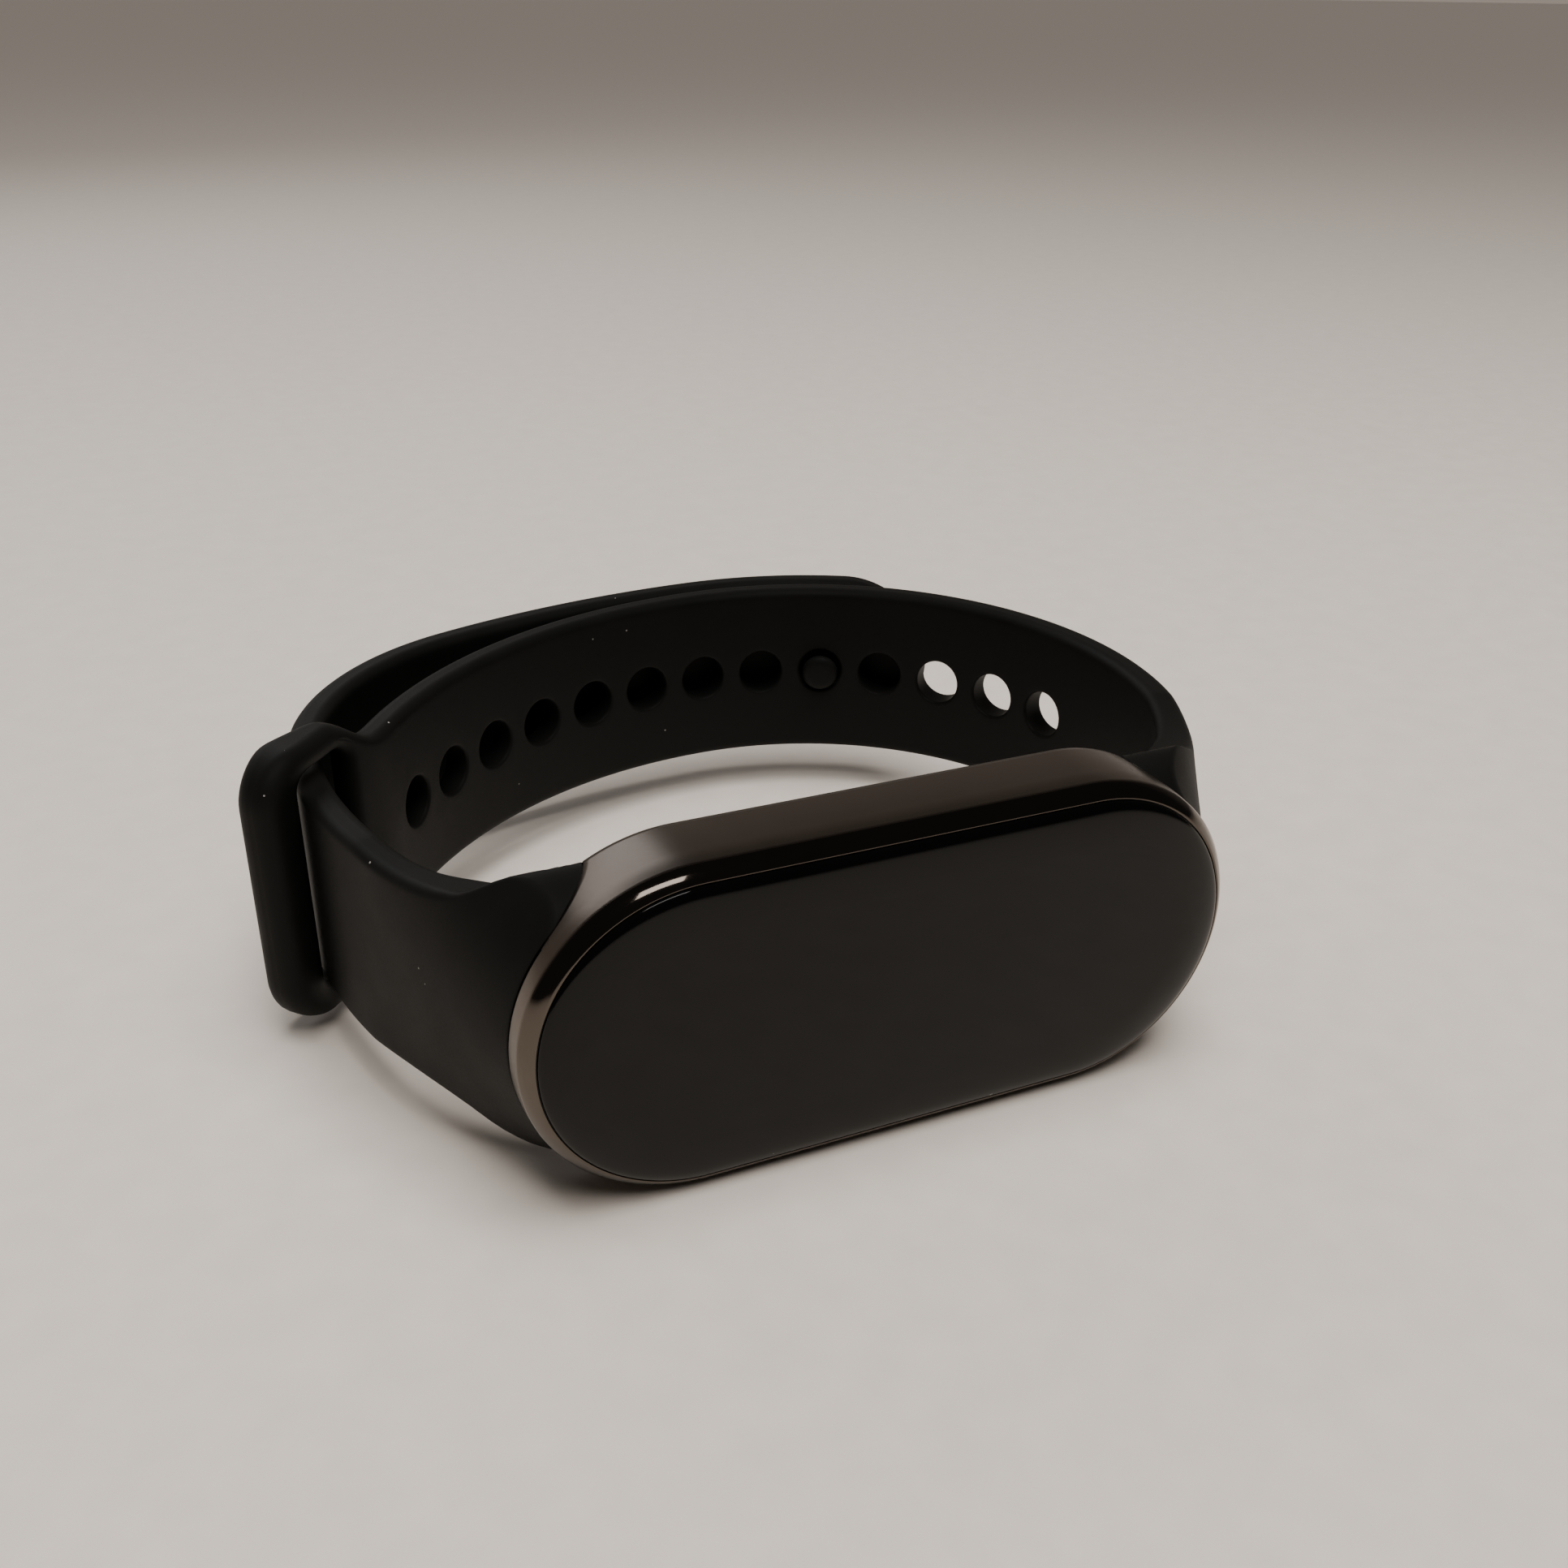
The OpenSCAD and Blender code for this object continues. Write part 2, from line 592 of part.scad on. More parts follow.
// A leaf spring that lies between the clip's roof and the latch's arm.
module latch_spring() color([0.75, 0.75, 0.77]) {
    low = arm_h + arm_t;
    high = pocket_roof - fit - roof_t;
    from = nose_x + nose_len + 0.2;
    run = (stem_x + stem_len - from) / 2;
    rotate([90, 0, 0]) linear_extrude(latch_w - 1, center = true) polygon([
        [from, low], [from + run, high - spring_t], [from + 2 * run, low],
        [from + 2 * run, low + spring_t], [from + run, high], [from, low + spring_t]]);
}

module clip_right() in_body() clip();
module clip_left() in_body() mirror([1, 0, 0]) clip();
module latch_right() in_body() latch();
module latch_left() in_body() mirror([1, 0, 0]) latch();
module latch_spring_right() in_body() latch_spring();
module latch_spring_left() in_body() mirror([1, 0, 0]) latch_spring();

// ---- straps ----

// The section of both straps, across and through them.
module strap_section(r, trim)
    translate([r, 0]) round_rect([strap_t - 2 * trim, strap_w - 2 * trim], edge_round - trim);

// A stretch of strap of middle radius r about c, between two angles. Each stretch is a
// hair slimmer than the one it runs into, by trim.
module strap_arc(c, r, from, to, trim = 0)
    translate([c[0], c[1], mid_z]) rotate([0, 0, from])
        rotate_extrude(angle = to - from) strap_section(r, trim);

// A strap end: its outline from above, cut to the straps' width and to the body.
module strap_root(c, r, join, toward, side) difference() {
    steps = 8;
    r_in = r - strap_t / 2;
    r_out = r + strap_t / 2;
    stop = side > 0 ? asin((root_y - c[1]) / r_in) : 180 + asin((c[1] - root_y) / r_in);
    inner = [for (i = [0:steps]) on_arc(c, r_in, lerp(join, stop, i / steps))];
    p0 = on_arc(c, r_out, join);
    p1 = p0 + 6.5 * toward;
    p2 = [side * end_x, -ear_h];
    outer = [for (i = [0:steps]) let (u = 1 - i / steps)
        (1 - u) * (1 - u) * p0 + 2 * u * (1 - u) * p1 + u * u * p2];
    inside_x = side * (end_x - 6);
    intersection() {
        linear_extrude(body_w)
            polygon(concat(inner, [[inside_x, root_y], [inside_x, -ear_h]], outer));
        width_outline();
    }
    in_body() {
        pill(seat_r + fit, back_h - 3, front_h);
        pill(body_r + fit, back_h - 3, skirt_h + 0.1);
        mirror([side > 0 ? 0 : 1, 0, 0]) {
            block([pocket_x, -flange_half, pocket_floor + fit], [flange_x, flange_half, pocket_roof - fit]);
            block([pocket_x, -slot_half, button_h - 3],
                  [stem_x + button_len + 0.2, slot_half, pocket_floor + 2 * fit]);
        }
    }
}

// The straps' width from the side, drawn along X.
module width_outline() {
    ys = concat([for (i = [0:10]) -ear_h + i * ear_depth / 10],
                [for (i = [1:10]) lerp(flare_from, flare_to, i / 10)], [flare_to + 20]);
    translate([-end_x - 20, 0, mid_z]) rotate([90, 0, 90]) linear_extrude(2 * end_x + 40)
        polygon(concat([for (y = ys) [y, strap_half(y)]],
                       [for (i = [len(ys) - 1:-1:0]) [ys[i], -strap_half(ys[i])]]));
}

// The loop's frame: a flat plate with a window, and a round bar at its end.
module loop() translate([loop_start[0], loop_start[1], mid_z]) rotate([0, 0, loop_tilt - 180]) {
    corner = 3.6;
    flare = 3.4;
    rotate([90, 0, 0]) linear_extrude(loop_t, center = true) difference() {
        union() {
            polygon([[-0.5, -half_strap + edge_round], [flare, -loop_half], [flare + 1, -loop_half],
                     [flare + 1, loop_half], [flare, loop_half], [-0.5, half_strap - edge_round]]);
            translate([flare, -loop_half]) square([bar_at - corner - flare, 2 * loop_half]);
            translate([flare, -loop_half + corner]) square([bar_at - flare, 2 * (loop_half - corner)]);
            for (y = [-1, 1]) translate([bar_at - corner, y * (loop_half - corner)]) circle(corner);
        }
        translate([(window_from + bar_at) / 2, 0]) round_rect([bar_at - window_from, 2 * window_half], 1);
    }
    translate([bar_at, 0, 0]) cylinder(h = 2 * (loop_half - corner), r = bar_r, center = true);
}

// Puts a shape on a strap: local Z points out of the band.
module on_strap(c, r, a)
    translate([c[0], c[1], mid_z]) rotate([0, 0, a]) translate([r, 0, 0]) rotate([0, 90, 0]) children();

module hole_strap() color([0.1, 0.1, 0.1]) difference() {
    union() {
        strap_root(arc1_c, arc1_r, root_join, [sin(root_join), -cos(root_join)], 1);
        strap_arc(arc1_c, arc1_r, root_join - turn(lap, arc1_r), 90, hair);
        strap_arc(arc2_c, arc2_r, 90 - turn(lap, arc2_r), arc2_end, 2 * hair);
        strap_arc(arc3_c, arc3_r, arc3_to, arc3_from + turn(lap, arc3_r), 3 * hair);
        loop();
    }
    for (i = [0:hole_count - 1]) {
        spot = strap_spot((i - (hole_count - 1) / 2) * hole_pitch);
        on_strap(spot[0], spot[1], spot[2]) cylinder(h = 2 * strap_t, r = hole_r, center = true);
    }
}

module stud_strap() color([0.1, 0.1, 0.1]) {
    strap_root(stud1_c, stud1_r, stud_join, [sin(stud_join - 180), -cos(stud_join - 180)], -1);
    strap_arc(stud1_c, stud1_r, 180, stud_join + turn(lap, stud1_r), hair);
    strap_arc(stud2_c, stud2_r, stud_turn, 180 + turn(lap, stud2_r), 2 * hair);
    strap_arc(stud3_c, stud3_r, 90, stud_turn + turn(lap, stud3_r), 3 * hair);
}

// The stud strap's last stretch, with a round tip and the stud's stepped hole.
module strap_tail() color([0.1, 0.1, 0.1]) difference() {
    strap_arc(arc1_c, tail_r, tip_angle - 30, 90, 3 * hair);
    on_strap(arc1_c, tail_r, tip_angle) difference() {
        block([-strap_w, -2 * strap_w, -4 * strap_t], [strap_w, 0, 4 * strap_t]);
        cylinder(h = 12 * strap_t, r = half_strap + 0.25, center = true);
    }
    on_strap(arc1_c, tail_r, stud_angle) {
        cylinder(h = 4 * strap_t, r = neck_r + 0.02, center = true);
        translate([0, 0, cap_seat]) cylinder(h = 4, r = cap_r + 0.02);
    }
}

module stud_cap() color([0.22, 0.22, 0.23]) on_strap(arc1_c, tail_r, stud_angle)
    translate([0, 0, cap_seat]) difference() {
        union() {
            cylinder(h = cap_t - 0.3, r = cap_r);
            translate([0, 0, cap_t - 0.3]) cylinder(h = 0.3, r1 = cap_r, r2 = cap_r - 0.3);
        }
        translate([0, 0, -1]) cylinder(h = 1 + cap_t / 2, r = rivet_r + 0.02);
    }

module stud_post() color([0.22, 0.22, 0.23]) on_strap(arc1_c, tail_r, stud_angle) {
    foot = -(tail_r - arc1_r) - strap_t / 2 - 0.25;
    translate([0, 0, foot - snap_t]) cylinder(h = snap_t, r1 = snap_r - 0.3, r2 = snap_r);
    translate([0, 0, foot - eps]) cylinder(h = cap_seat - foot + eps, r = neck_r);
    translate([0, 0, cap_seat - eps]) cylinder(h = cap_t / 2 - 0.1, r = rivet_r);
}

frame();
cover_glass();
glass_adhesive();
display_panel();
display_flex();
inner_carrier();
carrier_screws();
antenna();
main_board();
board_chips();
shield_can();
board_connectors();
light_sensor();
battery();
battery_tape();
motor_case();
motor_rotor();
sensor_board();
sensor_leds();
sensor_photodiodes();
light_barrier();
sensor_window();
window_adhesive();
charge_contacts();
contact_seals();
back_seal();
back_cover();
clip_right();
latch_right();
latch_spring_right();
clip_left();
latch_left();
latch_spring_left();
hole_strap();
stud_strap();
strap_tail();
stud_cap();
stud_post();
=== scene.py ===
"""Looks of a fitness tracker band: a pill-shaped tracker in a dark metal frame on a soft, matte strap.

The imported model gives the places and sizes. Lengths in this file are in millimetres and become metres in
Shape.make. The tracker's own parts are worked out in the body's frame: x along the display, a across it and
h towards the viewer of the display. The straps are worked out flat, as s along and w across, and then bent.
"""

import json
import logging
import math
from dataclasses import dataclass, field
from enum import Enum
from typing import Callable, Sequence

import bmesh
import bpy
import numpy as np
from mathutils import Matrix, Vector
from mathutils.geometry import delaunay_2d_cdt


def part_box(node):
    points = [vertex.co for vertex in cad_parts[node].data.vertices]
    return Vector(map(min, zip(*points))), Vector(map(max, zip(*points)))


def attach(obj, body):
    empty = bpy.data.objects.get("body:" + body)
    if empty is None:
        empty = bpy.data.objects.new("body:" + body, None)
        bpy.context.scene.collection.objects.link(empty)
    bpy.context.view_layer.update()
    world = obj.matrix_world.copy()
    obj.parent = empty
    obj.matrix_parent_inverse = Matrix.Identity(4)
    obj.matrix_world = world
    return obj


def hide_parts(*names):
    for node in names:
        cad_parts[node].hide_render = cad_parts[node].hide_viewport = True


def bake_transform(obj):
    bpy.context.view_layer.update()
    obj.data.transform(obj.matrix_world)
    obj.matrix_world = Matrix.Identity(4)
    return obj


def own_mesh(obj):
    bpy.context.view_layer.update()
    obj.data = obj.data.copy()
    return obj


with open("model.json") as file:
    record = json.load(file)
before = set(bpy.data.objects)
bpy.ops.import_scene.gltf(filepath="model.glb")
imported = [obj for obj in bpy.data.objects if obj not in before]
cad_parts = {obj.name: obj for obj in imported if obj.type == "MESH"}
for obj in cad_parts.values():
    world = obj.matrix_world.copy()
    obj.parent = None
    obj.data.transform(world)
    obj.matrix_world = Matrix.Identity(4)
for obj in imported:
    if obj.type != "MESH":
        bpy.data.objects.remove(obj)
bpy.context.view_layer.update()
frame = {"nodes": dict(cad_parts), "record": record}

log = logging.getLogger("tracker_band")
Array = np.ndarray
Color = tuple[float, float, float]
Socket = bpy.types.NodeSocket
METRE = 0.001  # metres in a millimetre
SWELL_ROWS = 6  # rows of the frame's wall behind its crease
CLOUD_SIZE = 3.2  # size of the soft clouds in every finish, in millimetres
NOISE_SPAN = (0.3, 0.7)  # where most of a noise texture's values lie
STREAK = (0.08, 1.0, 1.0)  # scale of a brushed grain along each axis
SPECK_RADIUS = 0.045  # radius of a dust speck, as a share of its cell
DUST_COLOR = (0.22, 0.21, 0.2, 1)


# ---------------------------------------------------------------- sizes


@dataclass(frozen=True)
class Design:
    """Driving sizes of the band, in millimetres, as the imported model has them.

    Attributes:
        length: length of the body.
        width: width of the body.
        front: height of the glass over the side wall's middle.
        edge: height of the glass's edge.
        back: height of the back cover, below zero.
        side_flat: depth of the straight side wall.
        lip: width of the frame around the glass.
        ear_gap: how far the strap ends lie behind the side wall's front.
        ear_depth: height over which the strap ends are rounded.
        ear_drop: width that this rounding takes off.
        root_width: width of a strap at the body.
        strap_width: width of a strap further on.
        strap_thick: its thickness.
        flare_from: distance behind the side wall's middle where a strap starts to narrow.
        flare_to: where it has its own width.
        flare_power: how fast it narrows at first.
        root_to: where its thick end stops.
        root_y: where its inner face meets the body.
        crown_x: place along the display of the band's furthest point.
        depth: distance of that point from the display.
        bulge: how far the band stands out beyond the body on the left.
        lay_gap: gap between the two straps where they overlap.
    """

    length: float
    width: float
    front: float
    edge: float
    back: float
    side_flat: float = 3.7
    lip: float = 1.05
    ear_gap: float = 0.25
    ear_depth: float = 3.65
    ear_drop: float = 3.0
    root_width: float = 19.3
    strap_width: float = 15.0
    strap_thick: float = 2.2
    flare_from: float = 2.05
    flare_to: float = 13.0
    flare_power: float = 2.4
    root_to: float = 13.5
    root_y: float = 4.65
    crown_x: float = 5.5
    depth: float = 45.15
    bulge: float = 7.5
    lay_gap: float = 0.15

    @classmethod
    def from_frame(cls) -> "Design":
        """Reads the body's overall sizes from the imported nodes.

        Returns:
            The sizes, with the rest as the design sets them.
        """
        low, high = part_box("frame")
        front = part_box("cover_glass")[0].y
        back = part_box("back_cover")[1].y
        return cls(
            length=(high.x - low.x) / METRE,
            width=(high.z - low.z) / METRE,
            front=-front / METRE,
            edge=-low.y / METRE,
            back=-back / METRE,
        )

    @property
    def radius(self) -> float:
        """Radius of the body's round ends."""
        return self.width / 2

    @property
    def spine(self) -> float:
        """Distance from the body's middle to the centre of each round end."""
        return (self.length - self.width) / 2

    @property
    def mid_z(self) -> float:
        """Height of the body's middle above the surface."""
        return self.width / 2

    @property
    def shoulder(self) -> float:
        """Height h of the front of the straight side wall."""
        return self.side_flat / 2

    @property
    def ear_h(self) -> float:
        """Height h of the front edge of the strap ends."""
        return self.shoulder - self.ear_gap

    @property
    def glass_radius(self) -> float:
        """Radius of the glass's round ends."""
        return self.radius - self.lip

    def strap_half(self, y: Array) -> Array:
        """Half the straps' width: a quarter ellipse at the ears, full at the root, then narrowing by a power.

        Args:
            y: distance behind the side wall's middle.

        Returns:
            Half the width at each y.
        """
        wide, narrow = self.root_width / 2, self.strap_width / 2
        top = -self.ear_h
        rise = np.clip((top + self.ear_depth - y) / self.ear_depth, 0, 1)
        ears = wide - self.ear_drop * (1 - np.sqrt(1 - rise**2))
        left = np.clip((self.flare_to - y) / (self.flare_to - self.flare_from), 0, 1)
        flare = narrow + (wide - narrow) * left**self.flare_power
        return np.where(y < top + self.ear_depth, ears, flare)


# ---------------------------------------------------------------- mesh helpers


def smooth_step(t: Array) -> Array:
    """The curve 3t^2 - 2t^3 between 0 and 1, flat outside."""
    u = np.clip(t, 0.0, 1.0)
    return u * u * (3 - 2 * u)


def grid_faces(rows: int, cols: int, wrap_rows: bool = False, wrap_cols: bool = True) -> Array:
    """Quads of a grid whose point (i, j) has index i * cols + j.

    Args:
        rows: number of rows.
        cols: number of columns.
        wrap_rows: join the last row to the first.
        wrap_cols: join the last column to the first.

    Returns:
        An array of quads.
    """
    i = np.arange(rows if wrap_rows else rows - 1)
    j = np.arange(cols if wrap_cols else cols - 1)
    i, j = (g.ravel() for g in np.meshgrid(i, j, indexing="ij"))
    i1, j1 = (i + 1) % rows, (j + 1) % cols
    return np.stack([i * cols + j, i * cols + j1, i1 * cols + j1, i1 * cols + j], axis=1)


@dataclass
class Shape:
    """Points and faces gathered from several surfaces, welded and closed when made into a mesh.

    Attributes:
        points: the surfaces' points, in millimetres.
        faces: their faces, as indices into all the points.
        slots: the material slot of each face.
        count: how many points there are.
    """

    points: list[Array] = field(default_factory=list)
    faces: list[list[int]] = field(default_factory=list)
    slots: list[int] = field(default_factory=list)
    count: int = 0

    def add(self, points: Array, faces: Sequence, slot: int = 0) -> None:
        """Adds a surface.

        Args:
            points: its points, in millimetres.
            faces: its faces, as indices into points.
            slot: the material slot of its faces.
        """
        self.points.append(np.asarray(points, float).reshape(-1, 3))
        made = (np.asarray(faces) + self.count).tolist() if isinstance(faces, np.ndarray) else [
            [i + self.count for i in f] for f in faces
        ]
        self.faces += made
        self.slots += [slot] * len(made)
        self.count += len(self.points[-1])

    def add_rings(self, points: Array, slot: int = 0) -> None:
        """Adds a grid of rings, and closes it with a flat face on the first and on the last ring.

        Args:
            points: the grid, a row for each ring.
            slot: the material slot of its faces.
        """
        rows, cols = points.shape[:2]
        ends = [list(range(cols)), list(range((rows - 1) * cols, rows * cols))]
        self.add(points, grid_faces(rows, cols).tolist() + ends, slot)

    def make(
        self, name: str, materials: Sequence[bpy.types.Material], weld: float = 2e-4
    ) -> bpy.types.Object:
        """Turns the surfaces into one smooth, closed object with its faces outwards.

        Args:
            name: the piece's name.
            materials: a material for each slot.
            weld: distance, in millimetres, within which points become one.

        Returns:
            The object, at the origin, with its place in its mesh.
        """
        mesh = bpy.data.meshes.new(name)
        mesh.from_pydata(np.vstack(self.points) * METRE, [], self.faces)
        for material in materials:
            mesh.materials.append(material)
        mesh.polygons.foreach_set("material_index", np.array(self.slots, np.int32))
        work = bmesh.new()
        work.from_mesh(mesh)
        bmesh.ops.remove_doubles(work, verts=work.verts, dist=weld * METRE)
        bmesh.ops.dissolve_degenerate(work, edges=work.edges, dist=weld * METRE * 0.1)
        bmesh.ops.recalc_face_normals(work, faces=work.faces)
        work.to_mesh(mesh)
        work.free()
        mesh.polygons.foreach_set("use_smooth", np.ones(len(mesh.polygons), bool))
        mesh.update()
        made = bpy.data.objects.new(name, mesh)
        bpy.context.scene.collection.objects.link(made)
        return made


def body_points(design: Design, x: Array, a: Array, h: Array) -> Array:
    """Carries points of the body's frame (along, across, towards the display) into the model's frame."""
    x, a, h = np.broadcast_arrays(x, a, h)
    return np.stack([x, -h, design.mid_z + a], axis=-1)


def pill_ring(spine: float, ends: int = 64, sides: int = 40) -> tuple[Array, Array, Array]:
    """Columns round a pill outline: a centre on the spine and a direction for each.

    Args:
        spine: half the straight length.
        ends: columns on each round end.
        sides: columns on each straight side.

    Returns:
        The centre's x, and the direction's x and across parts.
    """
    turn = np.linspace(-90, 90, ends + 1)
    run = np.linspace(-1, 1, sides + 1)[1:-1] * spine
    angle = np.radians(np.concatenate([turn, np.full(len(run), 90), turn + 180, np.full(len(run), 270)]))
    centre = np.concatenate([np.full(len(turn), spine), -run, np.full(len(turn), -spine), run])
    return centre, np.cos(angle), np.sin(angle)


def arc_profile(start: tuple, end: tuple, steps: int, vertical_first: bool) -> Array:
    """A quarter ellipse between two (radius, height) points, leaving the first straight up or straight in.

    Args:
        start: the first point.
        end: the last point.
        steps: how many steps lie between them.
        vertical_first: whether it leaves the first point straight up.

    Returns:
        Rows of (radius, height).
    """
    t = np.linspace(0, math.pi / 2, steps + 1)
    u, v = (1 - np.cos(t), np.sin(t)) if vertical_first else (np.sin(t), 1 - np.cos(t))
    return np.stack([start[0] + (end[0] - start[0]) * u, start[1] + (end[1] - start[1]) * v], axis=1)


def pill_lathe(design: Design, shape: Shape, profile: Array, spine: float, at: tuple = (0.0, 0.0)) -> None:
    """Carries a profile round a pill outline and closes both of its ends with flat faces.

    Args:
        design: the sizes.
        shape: what the surface is added to.
        profile: rows of (radius, height); the first and last rows are the rims of the flat ends.
        spine: half the straight length; 0 gives a round piece.
        at: the centre, along and across.
    """
    centre, dx, da = pill_ring(spine) if spine > 0 else pill_ring(1e-9, 48, 1)
    r, h = profile[:, :1], profile[:, 1:]
    shape.add_rings(body_points(design, at[0] + centre + r * dx, at[1] + r * da, h + 0 * dx))


# ---------------------------------------------------------------- finishes


class Look(Enum):
    """Choices of base for a finish."""

    RUBBER = "rubber"
    METAL = "metal"
    GLASS = "glass"
    PLASTIC = "plastic"

    @property
    def ior(self) -> float:
        """Index of refraction: low on soft rubber and on glass with a coating against glare."""
        return {Look.RUBBER: 1.22, Look.GLASS: 1.31}.get(self, 1.45)


@dataclass(frozen=True)
class Nodes:
    """Adds nodes to the tree of a material or a world.

    Attributes:
        tree: the tree.
    """

    tree: bpy.types.NodeTree

    def add(self, kind: str, inputs: dict, **settings: object) -> bpy.types.NodeOutputs:
        """Adds a node. An input given a socket is linked to it, and any other keeps the value.

        Args:
            kind: the node's type, without its common first part.
            inputs: a value or a socket for each input, by name or number.
            settings: the node's own choices.

        Returns:
            The node's outputs.
        """
        node = self.tree.nodes.new("ShaderNode" + kind)
        for name, value in settings.items():
            setattr(node, name, value)
        for name, value in inputs.items():
            if isinstance(value, bpy.types.NodeSocket):
                self.tree.links.new(value, node.inputs[name])
            else:
                node.inputs[name].default_value = value
        return node.outputs

    def math(self, operation: str, *values: Socket | float) -> Socket:
        """The result of a sum, product or comparison of up to three values."""
        return self.add("Math", dict(enumerate(values)), operation=operation)[0]

    def mix(self, factor: Socket, a: Socket | tuple, b: Socket | tuple) -> Socket:
        """A blend of two colours."""
        return self.add("Mix", {"Factor": factor, "A": a, "B": b}, data_type="RGBA")["Result"]

    def spread(self, value: Socket, span: tuple, result: tuple, curve: str = "LINEAR") -> Socket:
        """Carries a value from one span to another."""
        limits = dict(zip(("From Min", "From Max", "To Min", "To Max"), (*span, *result)))
        return self.add("MapRange", {"Value": value, **limits}, interpolation_type=curve)["Result"]

    def noise(self, place: Socket, size: float, detail: float) -> Socket:
        """Noise with cells of the given size in millimetres."""
        inputs = {"Vector": place, "Scale": 1 / (size * METRE), "Detail": detail}
        return self.add("TexNoise", inputs)["Fac"]


@dataclass(frozen=True)
class Finish:
    """A procedural finish on object coordinates: mottled colour, uneven gloss and a fine relief.

    Attributes:
        name: the material's name.
        color: the base colour.
        look: what it is made of.
        rough: lowest roughness.
        rough_span: how much the roughness varies.
        grain: size of the relief's grain, in millimetres.
        relief: depth of the relief, in millimetres.
        mottle: how much the colour varies.
        dust: share of the surface under dust specks.
        dust_size: size of a cell that may hold a speck, in millimetres.
        brushed: whether the grain is drawn out along x.
    """

    name: str
    color: Color
    look: Look = Look.PLASTIC
    rough: float = 0.4
    rough_span: float = 0.1
    grain: float = 0.2
    relief: float = 0.004
    mottle: float = 0.15
    dust: float = 0.0
    dust_size: float = 1.4
    brushed: bool = False

    def make(self) -> bpy.types.Material:
        """Builds the material.

        Returns:
            The material, with every constant set on the shader's own sockets.
        """
        material = bpy.data.materials.new(self.name)
        material.use_nodes = True
        nodes = Nodes(material.node_tree)
        nodes.tree.nodes.clear()
        place = nodes.add("TexCoord", {})["Object"]
        along = nodes.add("Mapping", {"Vector": place, "Scale": STREAK})["Vector"] if self.brushed else place
        cloud = nodes.noise(place, CLOUD_SIZE, 4.0)
        fine = nodes.noise(along, self.grain, 3.0)
        mean = nodes.math("MULTIPLY", nodes.math("ADD", cloud, fine), 0.5)
        gloss = nodes.spread(mean, NOISE_SPAN, (self.rough, self.rough + self.rough_span))
        tint = self._tint(nodes, cloud)
        if self.dust:
            speck = self._specks(nodes, place)
            tint = nodes.mix(speck, tint, DUST_COLOR)
            gloss = nodes.math("MULTIPLY_ADD", speck, 0.5, gloss)
        surface = {
            "Metallic": 1.0 if self.look is Look.METAL else 0.0,
            "IOR": self.look.ior,
            "Base Color": tint,
            "Roughness": gloss,
        }
        if self.relief:
            bump = {"Strength": 1.0, "Distance": self.relief * METRE, "Height": fine}
            surface["Normal"] = nodes.add("Bump", bump)["Normal"]
        nodes.add("OutputMaterial", {"Surface": nodes.add("BsdfPrincipled", surface)["BSDF"]})
        return material

    def _tint(self, nodes: Nodes, cloud: Socket) -> Socket:
        """The base colour, a little darker and lighter in clouds.

        Args:
            nodes: the tree.
            cloud: the noise that the clouds follow.

        Returns:
            The colour.
        """
        outputs = nodes.add("ValToRGB", {"Fac": cloud})
        ramp = outputs["Color"].node.color_ramp
        for stop, at, change in zip(ramp.elements, NOISE_SPAN, (-self.mottle, self.mottle)):
            stop.position = at
            stop.color = (*(min(1.0, c * (1 + change)) for c in self.color), 1)
        return outputs["Color"]

    def _specks(self, nodes: Nodes, place: Socket) -> Socket:
        """Small specks: near the middle of a cell, in the few cells whose random value is low.

        Args:
            nodes: the tree.
            place: the coordinates.

        Returns:
            One on a speck, zero elsewhere.
        """
        cells = nodes.add("TexVoronoi", {"Vector": place, "Scale": 1 / (self.dust_size * METRE)})
        near = nodes.math("LESS_THAN", cells["Distance"], SPECK_RADIUS)
        value = nodes.add("SeparateColor", {"Color": cells["Color"]})[0]
        return nodes.math("MULTIPLY", near, nodes.math("LESS_THAN", value, self.dust))


SILICONE = Finish(
    "silicone_black", (0.0048, 0.0048, 0.0044), Look.RUBBER, 0.5, 0.12, 0.12, 0.0035, 0.12, 0.14, 1.6
)
GUNMETAL = Finish(
    "gunmetal_polished", (0.118, 0.1, 0.086), Look.METAL, 0.27, 0.06, 0.25, 0.0, 0.05, 0.03, 1.2
)
GUNMETAL_EDGE = Finish(
    "gunmetal_mirror", (0.1, 0.085, 0.073), Look.METAL, 0.05, 0.04, 0.25, 0.0, 0.05, 0.05, 1.0
)
COVER_GLASS = Finish(
    "cover_glass", (0.001, 0.001, 0.001), Look.GLASS, 0.035, 0.03, 0.5, 0.0, 0.1, 0.06, 2.2
)
GASKET = Finish("gasket_black", (0.006, 0.006, 0.006), Look.PLASTIC, 0.6, 0.1)
BACK_SHELL = Finish(
    "back_shell", (0.008, 0.008, 0.0082), Look.PLASTIC, 0.3, 0.12, 0.1, 0.002, 0.1, 0.04, 1.5
)
WINDOW = Finish("sensor_window", (0.003, 0.003, 0.004), Look.GLASS, 0.03, 0.03, 0.5, 0.0, 0.1)
LED_GREEN = Finish("led_lens", (0.08, 0.24, 0.1), Look.GLASS, 0.15, 0.1, 0.2, 0.002, 0.1)
DIODE = Finish("photodiode_lens", (0.03, 0.016, 0.025), Look.GLASS, 0.15, 0.1, 0.2, 0.002, 0.1)
SPRING = Finish("spring_leaf", (0.6, 0.6, 0.62), Look.METAL, 0.22, 0.1, 0.1, 0.001, brushed=True)
GOLD = Finish("gold_contact", (0.86, 0.6, 0.3), Look.METAL, 0.18, 0.12, 0.15, 0.002, 0.06)
STUD_PIN = Finish("stud_pin", (0.005, 0.005, 0.0048), Look.RUBBER, 0.45, 0.12, 0.12, 0.0015, 0.08)
